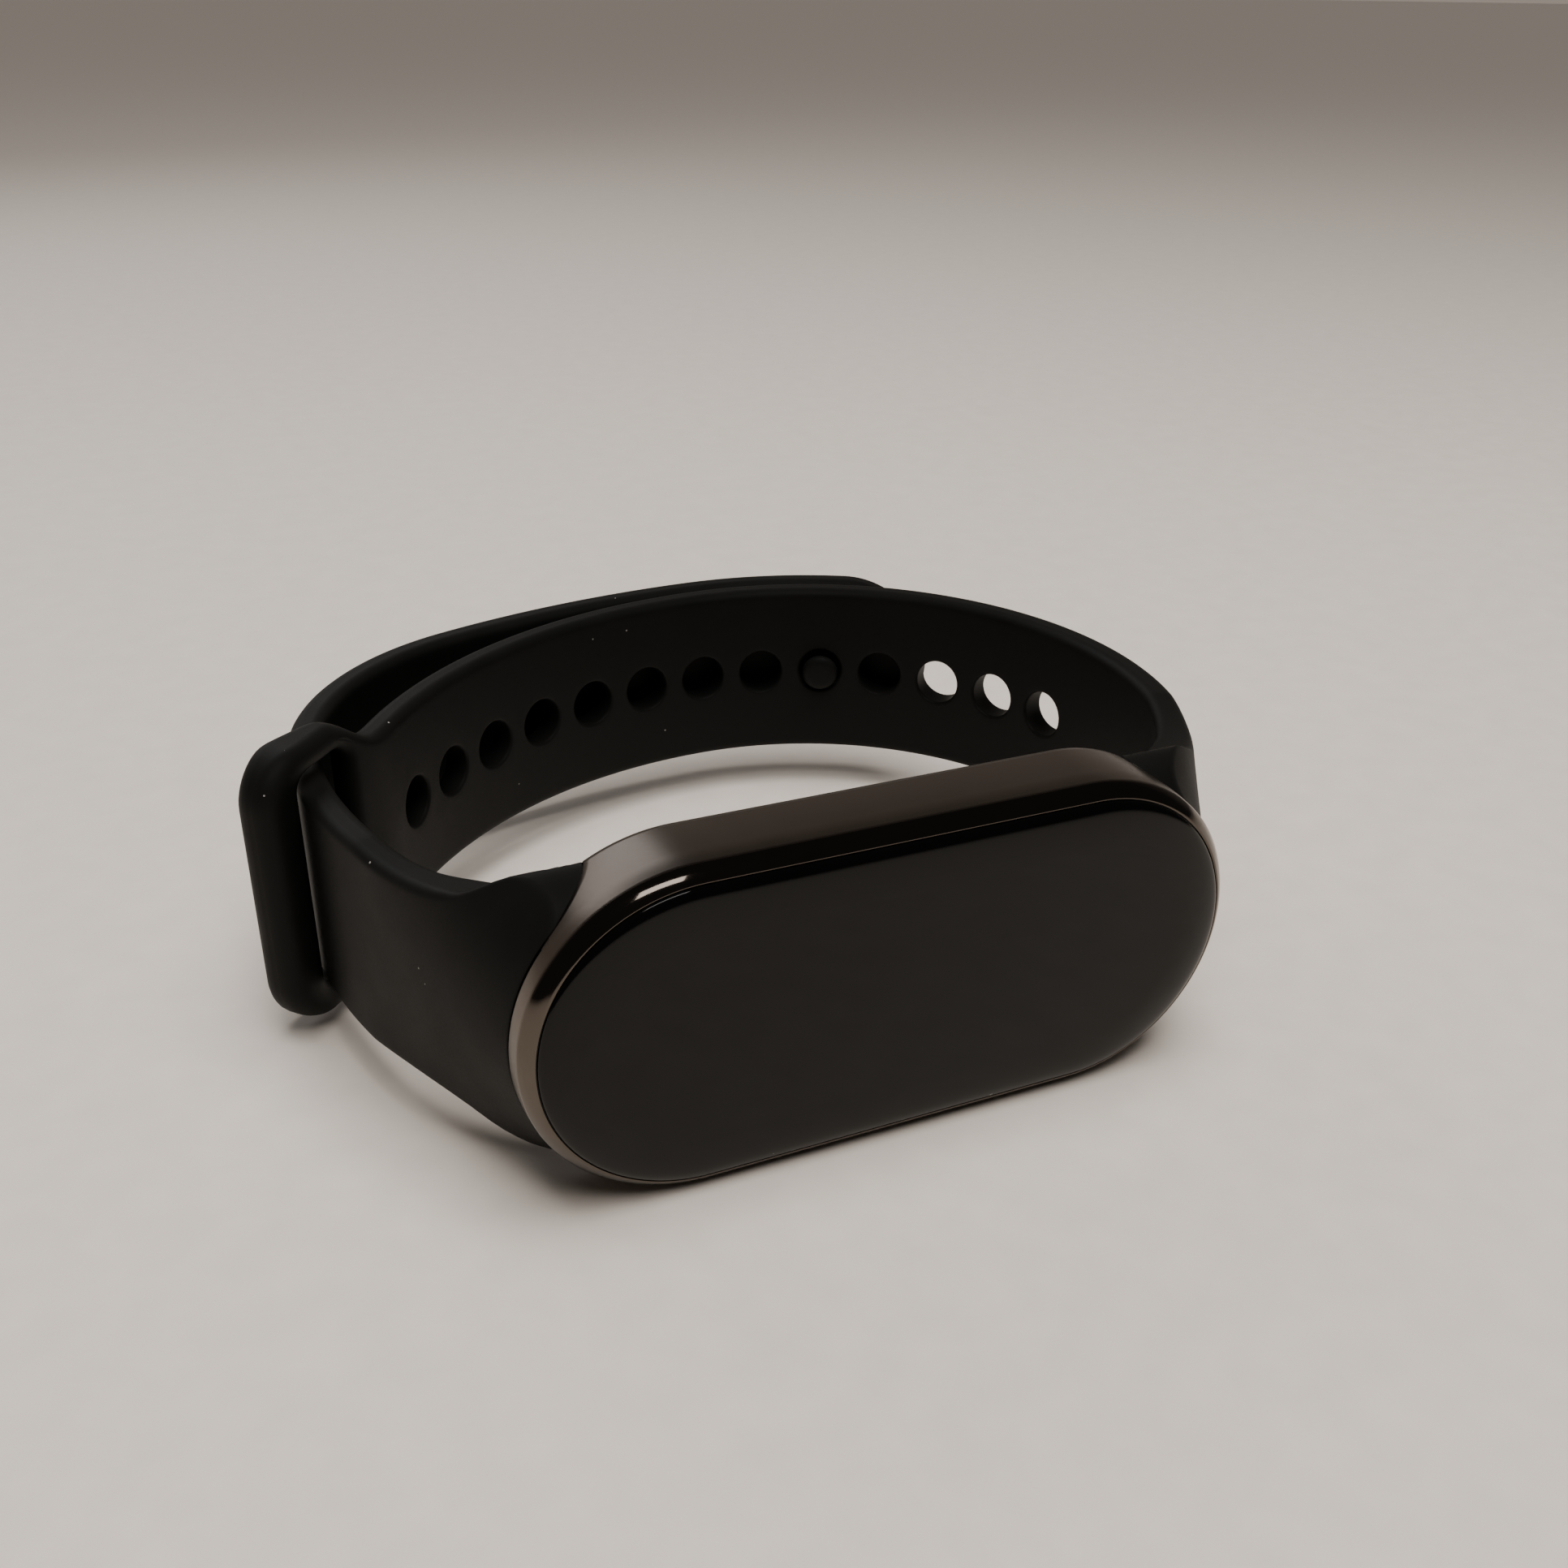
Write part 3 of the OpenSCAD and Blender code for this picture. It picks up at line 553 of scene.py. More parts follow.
STUD_METAL = Finish(
    "stud_metal", (0.075, 0.07, 0.066), Look.METAL, 0.28, 0.1, 0.12, 0.0015, 0.08, brushed=True
)


def slot_finishes() -> dict[str, Finish]:
    """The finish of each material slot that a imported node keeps.

    Returns:
        Slot name to finish.
    """
    made = [
        Finish("frame_metal", GUNMETAL.color, Look.METAL, 0.25, 0.1),
        Finish("cover_glass_slot", COVER_GLASS.color, Look.GLASS, 0.05, 0.05),
        Finish("strap_rubber", SILICONE.color, Look.RUBBER, 0.5, 0.12, 0.12, 0.0035),
        Finish("clasp_metal", STUD_METAL.color, Look.METAL, 0.28, 0.1, 0.12, 0.0015, brushed=True),
        Finish("back_plastic", BACK_SHELL.color, Look.PLASTIC, 0.32, 0.12, 0.1, 0.002),
        Finish("window_glass", WINDOW.color, Look.GLASS, 0.04, 0.04),
        Finish("gold_contact_slot", GOLD.color, Look.METAL, 0.18, 0.12, 0.15, 0.002),
        Finish("clip_plastic", (0.016, 0.016, 0.017), Look.PLASTIC, 0.38, 0.12, 0.12, 0.003),
        Finish("spring_steel", (0.6, 0.6, 0.62), Look.METAL, 0.22, 0.1, 0.1, 0.001, brushed=True),
        Finish("screw_steel", (0.55, 0.55, 0.57), Look.METAL, 0.2, 0.15, 0.1, 0.001),
        Finish("circuit_board", (0.012, 0.08, 0.035), Look.PLASTIC, 0.35, 0.15, 0.4, 0.004, 0.25),
        Finish("chip_plastic", (0.02, 0.02, 0.021), Look.PLASTIC, 0.5, 0.15, 0.08, 0.003),
        Finish("shield_metal", (0.62, 0.62, 0.63), Look.METAL, 0.3, 0.15, 0.2, 0.002, brushed=True),
        Finish("battery_foil", (0.6, 0.61, 0.62), Look.METAL, 0.35, 0.15, 0.8, 0.02, 0.08),
        Finish("adhesive", (0.02, 0.02, 0.02), Look.RUBBER, 0.6, 0.1),
        Finish("tape", (0.6, 0.5, 0.25), Look.PLASTIC, 0.5, 0.15, 0.3, 0.004),
        Finish("flex_film", (0.36, 0.15, 0.03), Look.PLASTIC, 0.25, 0.1, 0.3, 0.002),
        Finish("display_stack", (0.01, 0.012, 0.012), Look.GLASS, 0.1, 0.05),
        Finish("carrier_plastic", (0.03, 0.03, 0.032), Look.PLASTIC, 0.45, 0.12, 0.15, 0.004),
        Finish("antenna_copper", (0.75, 0.42, 0.24), Look.METAL, 0.3, 0.12, 0.15, 0.002),
        Finish("motor_metal", (0.6, 0.61, 0.63), Look.METAL, 0.25, 0.12, 0.12, 0.001, brushed=True),
        Finish("weight_tungsten", (0.3, 0.29, 0.27), Look.METAL, 0.45, 0.15, 0.1, 0.004),
        Finish("led_lens_slot", LED_GREEN.color, Look.GLASS, 0.15, 0.1),
        Finish("photodiode", DIODE.color, Look.GLASS, 0.15, 0.1),
        Finish("barrier_foam", (0.008, 0.008, 0.008), Look.RUBBER, 0.8, 0.1, 0.2, 0.01),
        Finish("seal_rubber", (0.03, 0.03, 0.032), Look.RUBBER, 0.6, 0.12, 0.1, 0.003),
        Finish("sensor_clear", (0.3, 0.3, 0.28), Look.GLASS, 0.1, 0.05),
    ]
    return {f.name.removesuffix("_slot"): f for f in made}


def tie(piece: bpy.types.Object, body: str, node: str) -> None:
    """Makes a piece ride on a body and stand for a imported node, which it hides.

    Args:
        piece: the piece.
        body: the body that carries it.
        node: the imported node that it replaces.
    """
    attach(piece, body)
    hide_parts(node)


# ---------------------------------------------------------------- tracker body


@dataclass
class Tracker:
    """The pill-shaped body: frame, cover glass, back cover, sensor window and contacts.

    Attributes:
        design: the band's sizes.
        chamfer: width of the polished band, along the radius.
        chamfer_fall: its fall in height.
        seat: depth of the recess that holds a strap end.
        seam: gap between a strap end and the frame.
        wall: thickness of the frame.
        crown_width: width over which the glass curves down.
        window_radius: radius of the sensor's window.
        window_crown: width over which the window curves down.
        window_rise: how far it stands out of the back.
        contact_radius: radius of a charging contact.
        contact_gap: distance between the two contacts.
        led_at: the LEDs' places along the display's direction.
        led_size: half length and half width of a LED's lens.
        diode_at: the photodiodes' places.
        diode_size: half length and half width of a photodiode's lens.
    """

    design: Design
    chamfer: float = 0.8
    chamfer_fall: float = 0.85
    seat: float = 0.75
    seam: float = 0.12
    wall: float = 1.6
    crown_width: float = 3.2
    window_radius: float = 5.2
    window_crown: float = 2.4
    window_rise: float = 0.5
    contact_radius: float = 0.9
    contact_gap: float = 4.2
    led_at: tuple[float, ...] = (-1.1, 1.1)
    led_size: tuple[float, float] = (0.62, 0.8)
    diode_at: tuple[float, ...] = (-3.5, 3.5)
    diode_size: tuple[float, float] = (0.62, 1.25)

    def wall_profile(self) -> Array:
        """Outer face of the frame from the glass to the skirt, as rows of (radius, height).

        A narrow lip, a mirror band that is slightly crowned, a crease, and a wall that swells to the widest
        line. The rows behind it are made with the strap seats.

        Returns:
            The rows, from the glass backwards.
        """
        d = self.design
        top_r, top_h = d.glass_radius + 0.16, d.edge
        crease_r, crease_h = top_r + self.chamfer, top_h - self.chamfer_fall
        t = np.linspace(0, 1, 9)[:, None]
        band = (1 - t) * (top_r, top_h) + t * (crease_r, crease_h)
        band = band + 0.05 * np.sin(np.pi * t) * (1.0, 1.0)
        u = np.linspace(0, 1, SWELL_ROWS + 1)[1:]
        swell_r = crease_r + (d.radius - crease_r) * np.sin(u * np.pi / 2)
        swell = np.stack([swell_r, crease_h + (d.ear_h + 0.16 - crease_h) * u], axis=1)
        lip_r = d.glass_radius + 0.06
        lip = [[lip_r, top_h - 0.5], [lip_r, top_h - 0.04], [d.glass_radius + 0.09, top_h]]
        return np.vstack([lip, band, swell])

    def make_frame(self) -> bpy.types.Object:
        """Builds the metal frame, a pill ring whose columns slide along the round ends.

        Two columns follow the outline of each strap seat row by row, and inside it the rows are set back.

        Returns:
            The frame's object.
        """
        d = self.design
        upper = self.wall_profile()
        lower_h = -d.shoulder
        drop = np.linspace(0, 1, 26) ** 2
        seat_top = d.ear_h + self.seam
        side_h = np.concatenate([[seat_top, seat_top], seat_top + (lower_h - seat_top) * drop[1:]])
        side_r = d.radius - 0.09 * np.clip((1.2 - side_h) / (1.2 - lower_h), 0, 1) ** 2
        r = np.concatenate([upper[:, 0], side_r])
        h = np.concatenate([upper[:, 1], side_h])
        in_seat = np.concatenate([np.zeros(len(upper) + 1), np.ones(len(side_h) - 1)])
        inner_r = d.radius - self.wall
        r = np.concatenate([r, [inner_r, inner_r]])
        h = np.concatenate([h, [lower_h, d.edge - 0.5]])
        in_seat = np.concatenate([in_seat, [0, 0]])

        half = d.strap_half(np.maximum(-h, -d.ear_h)) + self.seam
        edge = np.arcsin(np.clip(half / r, 0, 0.999))
        edge[-2:] = edge[len(upper)]
        lip = 0.06 / d.radius
        outside_cols, inside_cols = 15, 49
        outside = np.linspace(0, 1, outside_cols)
        inside = np.linspace(-1, 1, inside_cols)
        parts = []
        for e in edge:
            left = -np.pi / 2 + (np.pi / 2 - e - lip) * outside
            cut = np.array([-e - lip * 0.35, -e])
            mid = inside * (e - lip * 0.2)
            parts.append(np.concatenate([left, cut, mid, -cut[::-1], -left[::-1]]))
        level, slope = np.zeros(outside_cols), np.array([0.06, 0.5])
        depth_mask = np.concatenate([level, slope, np.ones(inside_cols), slope[::-1], level])
        angle = np.array(parts)
        depth = self.seat * in_seat[:, None] * depth_mask[None, :]
        radius = np.where(in_seat[:, None] > 0, r[:, None] - depth, r[:, None])
        run = np.linspace(-1, 1, 41)[1:-1] * d.spine
        rows = len(r)
        straight = np.ones((rows, 1)) * run[None, :]
        end_x, end_a = d.spine + radius * np.cos(angle), radius * np.sin(angle)
        side_a = r[:, None] + 0 * straight
        x = np.hstack([end_x, -straight, -end_x, straight])
        a = np.hstack([end_a, side_a, -end_a, -side_a])
        shape = Shape()
        faces = grid_faces(rows, x.shape[1], wrap_rows=True)
        band_rows = len(upper) - SWELL_ROWS - 1
        row = np.repeat(np.arange(rows), x.shape[1])
        mirror = (row >= 1) & (row < band_rows)
        points = body_points(d, x, a, h[:, None] + 0 * x)
        shape.add(points, faces[~mirror], 0)
        shape.add(points, faces[mirror], 1)
        return shape.make("tracker_frame", [GUNMETAL.make(), GUNMETAL_EDGE.make()])

    def make_glass(self) -> bpy.types.Object:
        """Builds the cover glass: flat in the middle, its rim a quarter ellipse down to the frame.

        Returns:
            The glass's object.
        """
        d = self.design
        flat = d.glass_radius - self.crown_width
        rim = arc_profile((d.glass_radius, d.edge - 0.02), (flat, d.front), 18, True)
        inner = np.array([[flat - 0.4, d.front]])
        shape = Shape()
        side = d.glass_radius
        under = [[side - 0.6, d.edge - 1.1], [side - 0.05, d.edge - 1.05], [side, d.edge - 0.95]]
        profile = np.vstack([under, rim, inner])
        pill_lathe(d, shape, profile, d.spine)
        return shape.make("cover_glass_dome", [COVER_GLASS.make()])

    def make_gasket(self) -> bpy.types.Object:
        """Builds the black bead between the glass and the frame.

        Returns:
            The bead's object.
        """
        d = self.design
        r, h = d.glass_radius + 0.03, d.edge - 0.2
        turn = np.linspace(0, 2 * np.pi, 9)[:-1]
        centre, dx, da = pill_ring(d.spine)
        rr = (r + 0.07 * np.cos(turn))[:, None]
        points = body_points(d, centre + rr * dx, rr * da, (h + 0.12 * np.sin(turn))[:, None] + 0 * dx)
        shape = Shape()
        shape.add(points, grid_faces(len(turn), len(centre), wrap_rows=True))
        return shape.make("glass_gasket", [GASKET.make()])

    def make_back(self) -> bpy.types.Object:
        """Builds the back cover: a shoulder that slopes from the frame's skirt and runs flat into the back.

        Its section is a Bezier curve from the edge to the flat, with the middle point at the back's height.

        Returns:
            The cover's object.
        """
        d = self.design
        skirt = -d.shoulder
        edge_r, pull_r, flat_r = d.radius - 0.25, d.radius - 2.6, d.radius - 4.9
        t = np.linspace(0, 1, 25)
        r = (1 - t) ** 2 * edge_r + 2 * t * (1 - t) * pull_r + t**2 * flat_r
        h = d.back + (skirt - 0.12 - d.back) * (1 - t) ** 2
        rise = skirt + 0.02
        top = [[edge_r - 1.2, rise], [edge_r - 0.1, rise], [edge_r - 0.02, skirt - 0.03]]
        shape = Shape()
        pill_lathe(d, shape, np.vstack([top, np.stack([r, h], axis=1)]), d.spine)
        return shape.make("back_shell", [BACK_SHELL.make()])

    def window_height(self, r: Array) -> Array:
        """Height of the window's face: a quarter ellipse at the rim, flat in the middle."""
        u = np.clip((r - self.window_radius + self.window_crown) / self.window_crown, 0, 1)
        return self.design.back - self.window_rise * np.sqrt(1 - u * u)

    def make_window(self) -> bpy.types.Object:
        """Builds the dark window over the sensor: a crowned disc in a fine groove.

        Returns:
            The window's object.
        """
        d = self.design
        r = self.window_radius * np.sin(np.linspace(np.pi / 2, 0.05, 30))
        rim = np.array([[r[0] + 0.02, d.back + 0.6], [r[0] + 0.02, d.back + 0.02]])
        shape = Shape()
        pill_lathe(d, shape, np.vstack([rim, np.stack([r, self.window_height(r)], axis=1)]), 0)
        return shape.make("sensor_window_dome", [WINDOW.make()])

    def make_lenses(self, name: str, spots: Sequence[float], size: tuple, finish: Finish) -> bpy.types.Object:
        """Builds low lenses that sit on the window: pads whose outline is |x|^4 + |a|^4 = 1.

        Args:
            name: the piece's name.
            spots: the lenses' places along the display's direction.
            size: half length and half width of a lens.
            finish: what they are made of.

        Returns:
            The lenses' object.
        """
        d = self.design
        turn = np.linspace(0, 2 * np.pi, 41)[:-1]
        cos, sin = np.cos(turn), np.sin(turn)
        ring = np.stack([np.sign(cos) * np.sqrt(np.abs(cos)), np.sign(sin) * np.sqrt(np.abs(sin))])
        scale = np.array([1.0, 1.0, 0.94, 0.8, 0.5, 0.15])[:, None]
        rise = np.array([-0.2, -0.01, 0.03, 0.045, 0.055, 0.06])[:, None]
        shape = Shape()
        for spot in spots:
            x, a = spot + size[0] * scale * ring[0], size[1] * scale * ring[1]
            shape.add_rings(body_points(d, x, a, self.window_height(np.hypot(x, a)) - rise))
        return shape.make(name, [finish.make()])

    def make_contacts(self) -> bpy.types.Object:
        """Builds the two charging contacts: flat pins with a rolled rim.

        Returns:
            The contacts' object.
        """
        d, r = self.design, self.contact_radius
        rim = arc_profile((r, d.back + 0.02), (r - 0.14, d.back - 0.05), 6, True)
        profile = np.vstack([[[r, d.back + 0.5]], rim, [[r * 0.5, d.back - 0.045], [r * 0.2, d.back - 0.04]]])
        shape = Shape()
        for side in (-1, 1):
            at = (-(self.window_radius + 5.6), side * self.contact_gap / 2)
            pill_lathe(d, shape, profile, 0, at=at)
        return shape.make("charge_pins", [GOLD.make()])

    def build(self) -> list[bpy.types.Object]:
        """Builds the tracker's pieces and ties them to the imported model.

        Returns:
            The pieces.
        """
        made = {
            "frame": (self.make_frame(), "frame_metal"),
            "cover_glass": (self.make_glass(), "cover_glass"),
            "glass_adhesive": (self.make_gasket(), "adhesive"),
            "back_cover": (self.make_back(), "back_plastic"),
            "sensor_window": (self.make_window(), "window_glass"),
            "sensor_leds": (
                self.make_lenses("led_lenses", self.led_at, self.led_size, LED_GREEN), "led_lens"
            ),
            "sensor_photodiodes": (
                self.make_lenses("diode_lenses", self.diode_at, self.diode_size, DIODE), "photodiode"
            ),
            "charge_contacts": (self.make_contacts(), "gold_contact"),
        }
        for node, (piece, slot) in made.items():
            tie(piece, "tracker", node)
        return [piece for piece, _ in made.values()]


# ---------------------------------------------------------------- straps


@dataclass(frozen=True)
class Arc:
    """A stretch of strap: part of a circle seen from above, or a straight run where the radius is 0.

    Attributes:
        centre: the circle's centre, or the run's start.
        radius: the radius at the strap's middle.
        start: angle, in degrees, where the stretch starts, or the run's direction.
        end: angle where it ends.
        outward: 1 where the strap's outer face is away from the centre, else -1.
        run: length of a straight run.
    """

    centre: tuple[float, float]
    radius: float
    start: float
    end: float
    outward: int = 1
    run: float = 0.0

    @property
    def length(self) -> float:
        """Length along the strap's middle."""
        return self.run if self.run else abs(math.radians(self.end - self.start)) * self.radius

    def place(self, s: Array, n: Array) -> tuple[Array, Array]:
        """Plan position of points s along the stretch and n out of the band.

        Args:
            s: distance along the stretch.
            n: distance out of the band.

        Returns:
            The points in plan.
        """
        if self.run:
            t = math.radians(self.start)
            return (
                self.centre[0] + s * math.cos(t) + n * math.sin(t),
                self.centre[1] + s * math.sin(t) - n * math.cos(t),
            )
        t = np.radians(self.start) + np.sign(self.end - self.start) * s / self.radius
        r = self.radius + self.outward * n
        return self.centre[0] + r * np.cos(t), self.centre[1] + r * np.sin(t)


@dataclass
class Root:
    """The thick end of a strap, from the body to where the strap has its own thickness.

    Its outer face is, for each w, a Bezier curve from the body's outline to the first stretch. Its inner face
    runs along the first stretch's circle and slides towards the body where the body's round end draws back.

    Attributes:
        design: the band's sizes.
        side: 1 for the strap on the right, -1 for the one on the left.
        first: the stretch after the root.
        draw_in: width taken off each side of the inner face at the body.
        pull: distance of the outer curve's middle point from the first stretch.
        tuck: how far the outer face starts inside the body's outline.
        clear: gap between the inner face's end and the body.
    """

    design: Design
    side: int
    first: Arc
    draw_in: float = 1.4
    pull: float = 6.5
    tuck: float = 0.06
    clear: float = 0.12

    def __post_init__(self) -> None:
        """Works out the control points and the length of the middle curve."""
        d = self.design
        half = d.strap_thick / 2
        angle = math.radians(self.first.start)
        turn = 1 if self.first.end > self.first.start else -1
        self.p0 = np.array(self.first.place(np.array(0.0), np.array(half)))
        self.toward = np.array([math.sin(angle) * turn, -math.cos(angle) * turn])
        self.p1 = self.p0 + self.pull * self.toward
        self.inner_r = self.first.radius - half
        rise = (d.root_y - self.first.centre[1]) / self.inner_r
        self.stop = math.asin(rise) if self.side > 0 else math.pi - math.asin(rise)
        self.join = angle
        v = np.linspace(0, 1, 200)
        x, y = self.outer(v, np.zeros_like(v))
        self.length = float(np.hypot(np.diff(x), np.diff(y)).sum())
        self.v_table, self.y_table = v, y

    def outer(self, v: Array, w: Array) -> tuple[Array, Array]:
        """Plan position of the outer face; v runs from the body, 0, to the first stretch, 1.

        Args:
            v: share of the way along the root.
            w: distance across the strap.

        Returns:
            The points in plan.
        """
        d = self.design
        r = d.radius - self.tuck
        px = self.side * (d.spine + np.sqrt(np.maximum(r * r - w * w, 0.0)))
        py = -d.ear_h
        a, b, c = (1 - v) ** 2, 2 * v * (1 - v), v * v
        return a * px + b * self.p1[0] + c * self.p0[0], a * py + b * self.p1[1] + c * self.p0[1]

    def inner(self, v: Array, w: Array) -> tuple[Array, Array]:
        """Plan position of the inner face.

        Args:
            v: share of the way along the root.
            w: distance across the strap.

        Returns:
            The points in plan.
        """
        d = self.design
        angle = self.stop + (self.join - self.stop) * v
        r = d.radius + self.clear
        back = (r - np.sqrt(np.maximum(r * r - w * w, 0.0))) * (1 - v) ** 2
        x = self.first.centre[0] + self.inner_r * np.cos(angle) - self.side * back
        y = self.first.centre[1] + self.inner_r * np.sin(angle)
        return x, y

    def half_width(self, s: Array) -> Array:
        """Half width s along the root, from the body."""
        return self.design.strap_half(np.interp(s / self.length, self.v_table, self.y_table))

    def drawn_in(self, v: Array, y: Array) -> Array:
        """Width taken off each side behind the side wall: most at the inner face by the body."""
        d = self.design
        return self.draw_in * (1 - v) * smooth_step((y - d.shoulder) / (d.root_y - d.shoulder))

    def edge_stations(self) -> Array:
        """Places along the root that follow the round ears closely, then evenly.

        Returns:
            Distances from the body.
        """
        d = self.design
        y = -d.ear_h + d.ear_depth * np.linspace(0, 1, 16) ** 2
        close = np.interp(y, self.y_table, self.v_table) * self.length
        return np.concatenate([close, np.arange(close[-1] + 0.5, self.length, 0.5)])


@dataclass
class Band:
    """A strap worked out flat and then bent: a root, stretches of arc, an outline, holes and round edges.

    In the root, a point's width follows its own distance behind the body, so that the round ears belong to
    the outer face alone, and the inner face is drawn in.

    Attributes:
        root: the thick end.
        arcs: the stretches after it.
        thick: thickness along the strap, a function of s.
        edge_round: radius of the outline's edge, a function of s.
    """

    root: Root
    arcs: Sequence[Arc]
    thick: Callable[[Array], Array]
    edge_round: Callable[[Array], Array]

    def bend(self, s: Array, w: Array, side: Array) -> Array:
        """Carries flat points to their place.

        Args:
            s: distance along the strap.
            w: distance across it.
            side: -1 on the inner face, 1 on the outer face.

        Returns:
            The points, in millimetres.
        """
        v = np.clip(s / self.root.length, 0, 1)
        k = (side + 1) / 2
        y_in, y_out = self.root.inner(v, w)[1], self.root.outer(v, w)[1]
        y = y_in + (y_out - y_in) * k
        wide = self.root.design.strap_half(y) - self.root.drawn_in(v, y)
        w = np.where(v < 1, w * wide / self.root.half_width(v * self.root.length), w)
        x_in, x_out = self.root.inner(v, w)[0], self.root.outer(v, w)[0]
        x = x_in + (x_out - x_in) * k
        n = side * self.thick(s) / 2
        start = self.root.length
        for number, arc in enumerate(self.arcs):
            last = number == len(self.arcs) - 1
            on = (s > start) & (last | (s <= start + arc.length))
            ax, ay = arc.place(s - start, n)
            x, y = np.where(on, ax, x), np.where(on, ay, y)
            start += arc.length
        z = self.root.design.mid_z + w
        return np.stack([x, y, z + 0 * x], axis=-1)

    def thickness(self, s: Array, w: Array) -> Array:
        """Distance between the two faces at flat points."""
        one = np.ones_like(s)
        return np.linalg.norm(self.bend(s, w, one) - self.bend(s, w, -one), axis=-1)

    @staticmethod
    def inset(loop: Array, distance: Array) -> Array:
        """Moves a closed outline, counter-clockwise, inwards by a distance at each point.

        Args:
            loop: the outline.
            distance: how far each point moves.

        Returns:
            The smaller outline.
        """
        along = np.roll(loop, -1, axis=0) - np.roll(loop, 1, axis=0)
        along /= np.linalg.norm(along, axis=1, keepdims=True)
        return loop + np.stack([-along[:, 1], along[:, 0]], axis=1) * np.asarray(distance)[:, None]

    @staticmethod
    def contains(loop: Array, points: Array) -> Array:
        """Even-odd test of points against a closed outline, for all pairs at once.

        Args:
            loop: the outline.
            points: the points.

        Returns:
            Whether each point lies inside.
        """
        a, b = loop, np.roll(loop, -1, axis=0)
        px, py = points[:, :1], points[:, 1:]
        cross = (a[:, 1] > py) != (b[:, 1] > py)
        slope = (b[:, 0] - a[:, 0]) / np.where(b[:, 1] == a[:, 1], 1e-12, b[:, 1] - a[:, 1])
        return ((cross & (px < a[:, 0] + slope * (py - a[:, 1]))).sum(axis=1) % 2) == 1

    def solid(self, shape: Shape, outline: Array, holes: Sequence[tuple[Array, Array]],
              pitch: float = 0.55, steps: int = 6, walls: int = 11) -> None:
        """Adds the strap as a closed surface: flat fields on both faces, and a rounded rim at every edge.

        At depth r(1 - cos t) in from an edge, the surface is r(1 - sin t) below the face, t from 0 to 90.

        Args:
            shape: what the surface is added to.
            outline: the strap's outline, counter-clockwise in (s, w).
            holes: each hole's outline, clockwise, and the radius of its edge at each point.
            pitch: spacing of the points inside.
            steps: rows in each rounded edge.
            walls: rows between the two rounded edges of the outline.
        """
        t = np.linspace(0, np.pi / 2, steps + 1)
        loops = [(outline, self.edge_round(outline[:, 0])), *holes]
        rims = []
        for loop, radius in loops:
            rows = np.stack([self.inset(loop, radius * (1 - math.cos(a))) for a in t])
            full = self.thickness(rows[..., 0].ravel(), rows[..., 1].ravel()).reshape(rows.shape[:2])
            level = 1 - 2 * radius[None, :] / full * (1 - np.sin(t))[:, None]
            wall = np.linspace(1, -1, walls + 2)[1:-1, None] if loop is outline else np.zeros((0, 1))
            both = np.concatenate([rows[::-1], np.repeat(rows[:1], len(wall), axis=0), rows])
            side = np.concatenate([level[::-1], level[:1] * wall, -level])
            points = self.bend(both[..., 0], both[..., 1], side)
            shape.add(points, grid_faces(len(both), len(loop)))
            rims.append(rows[-1])
        self._fields(shape, rims, pitch)

    def _fields(self, shape: Shape, rims: Sequence[Array], pitch: float) -> None:
        """Fills both faces inside the innermost rims with triangles over a staggered grid of points.

        Args:
            shape: what the faces are added to.
            rims: the strap's innermost rim, then each hole's.
            pitch: spacing of the grid.
        """
        low, high = rims[0].min(axis=0), rims[0].max(axis=0)
        s, w = np.arange(low[0], high[0], pitch), np.arange(low[1], high[1], pitch * 0.87)
        gs, gw = np.meshgrid(s, w, indexing="ij")
        gs = gs + (np.arange(len(w)) % 2)[None, :] * pitch / 2
        inner = np.stack([gs.ravel(), gw.ravel()], axis=1)
        keep = self.contains(rims[0], inner)
        for rim in rims[1:]:
            near = (inner[:, 0] > rim[:, 0].min() - 1) & (inner[:, 0] < rim[:, 0].max() + 1)
            keep[near] &= ~self.contains(rim, inner[near])
        inner = inner[keep]
        rim_points = np.vstack(rims)
        clear = np.ones(len(inner), bool)
        for part in np.array_split(np.arange(len(inner)), max(1, len(inner) // 1500)):
            gap = np.linalg.norm(inner[part, None, :] - rim_points[None, :, :], axis=2).min(axis=1)
            clear[part] = gap > pitch * 0.45
        inner = inner[clear]
        points = np.vstack([rim_points, inner])
        edges, start = [], 0
        for rim in rims:
            ids = np.arange(start, start + len(rim))
            edges.append(np.stack([ids, np.roll(ids, -1)], axis=1))
            start += len(rim)
        corners = [Vector(p) for p in points]
        flat, _, faces, *_ = delaunay_2d_cdt(corners, np.vstack(edges).tolist(), [], 0, 1e-7)
        flat, faces = np.array([tuple(p) for p in flat]), np.array(faces)
        centre = flat[faces].mean(axis=1)
        keep = self.contains(rims[0], centre)
        for rim in rims[1:]:
            keep &= ~self.contains(rim, centre)
        faces = faces[keep]
        for side in (1.0, -1.0):
            shape.add(self.bend(flat[:, 0], flat[:, 1], np.full(len(flat), side)), faces)


def circle_loop(s: float, w: float, r: float, count: int = 40) -> Array:
    """A clockwise circle in (s, w)."""
    t = -np.linspace(0, 2 * np.pi, count, endpoint=False)
    return np.stack([s + r * np.cos(t), w + r * np.sin(t)], axis=1)


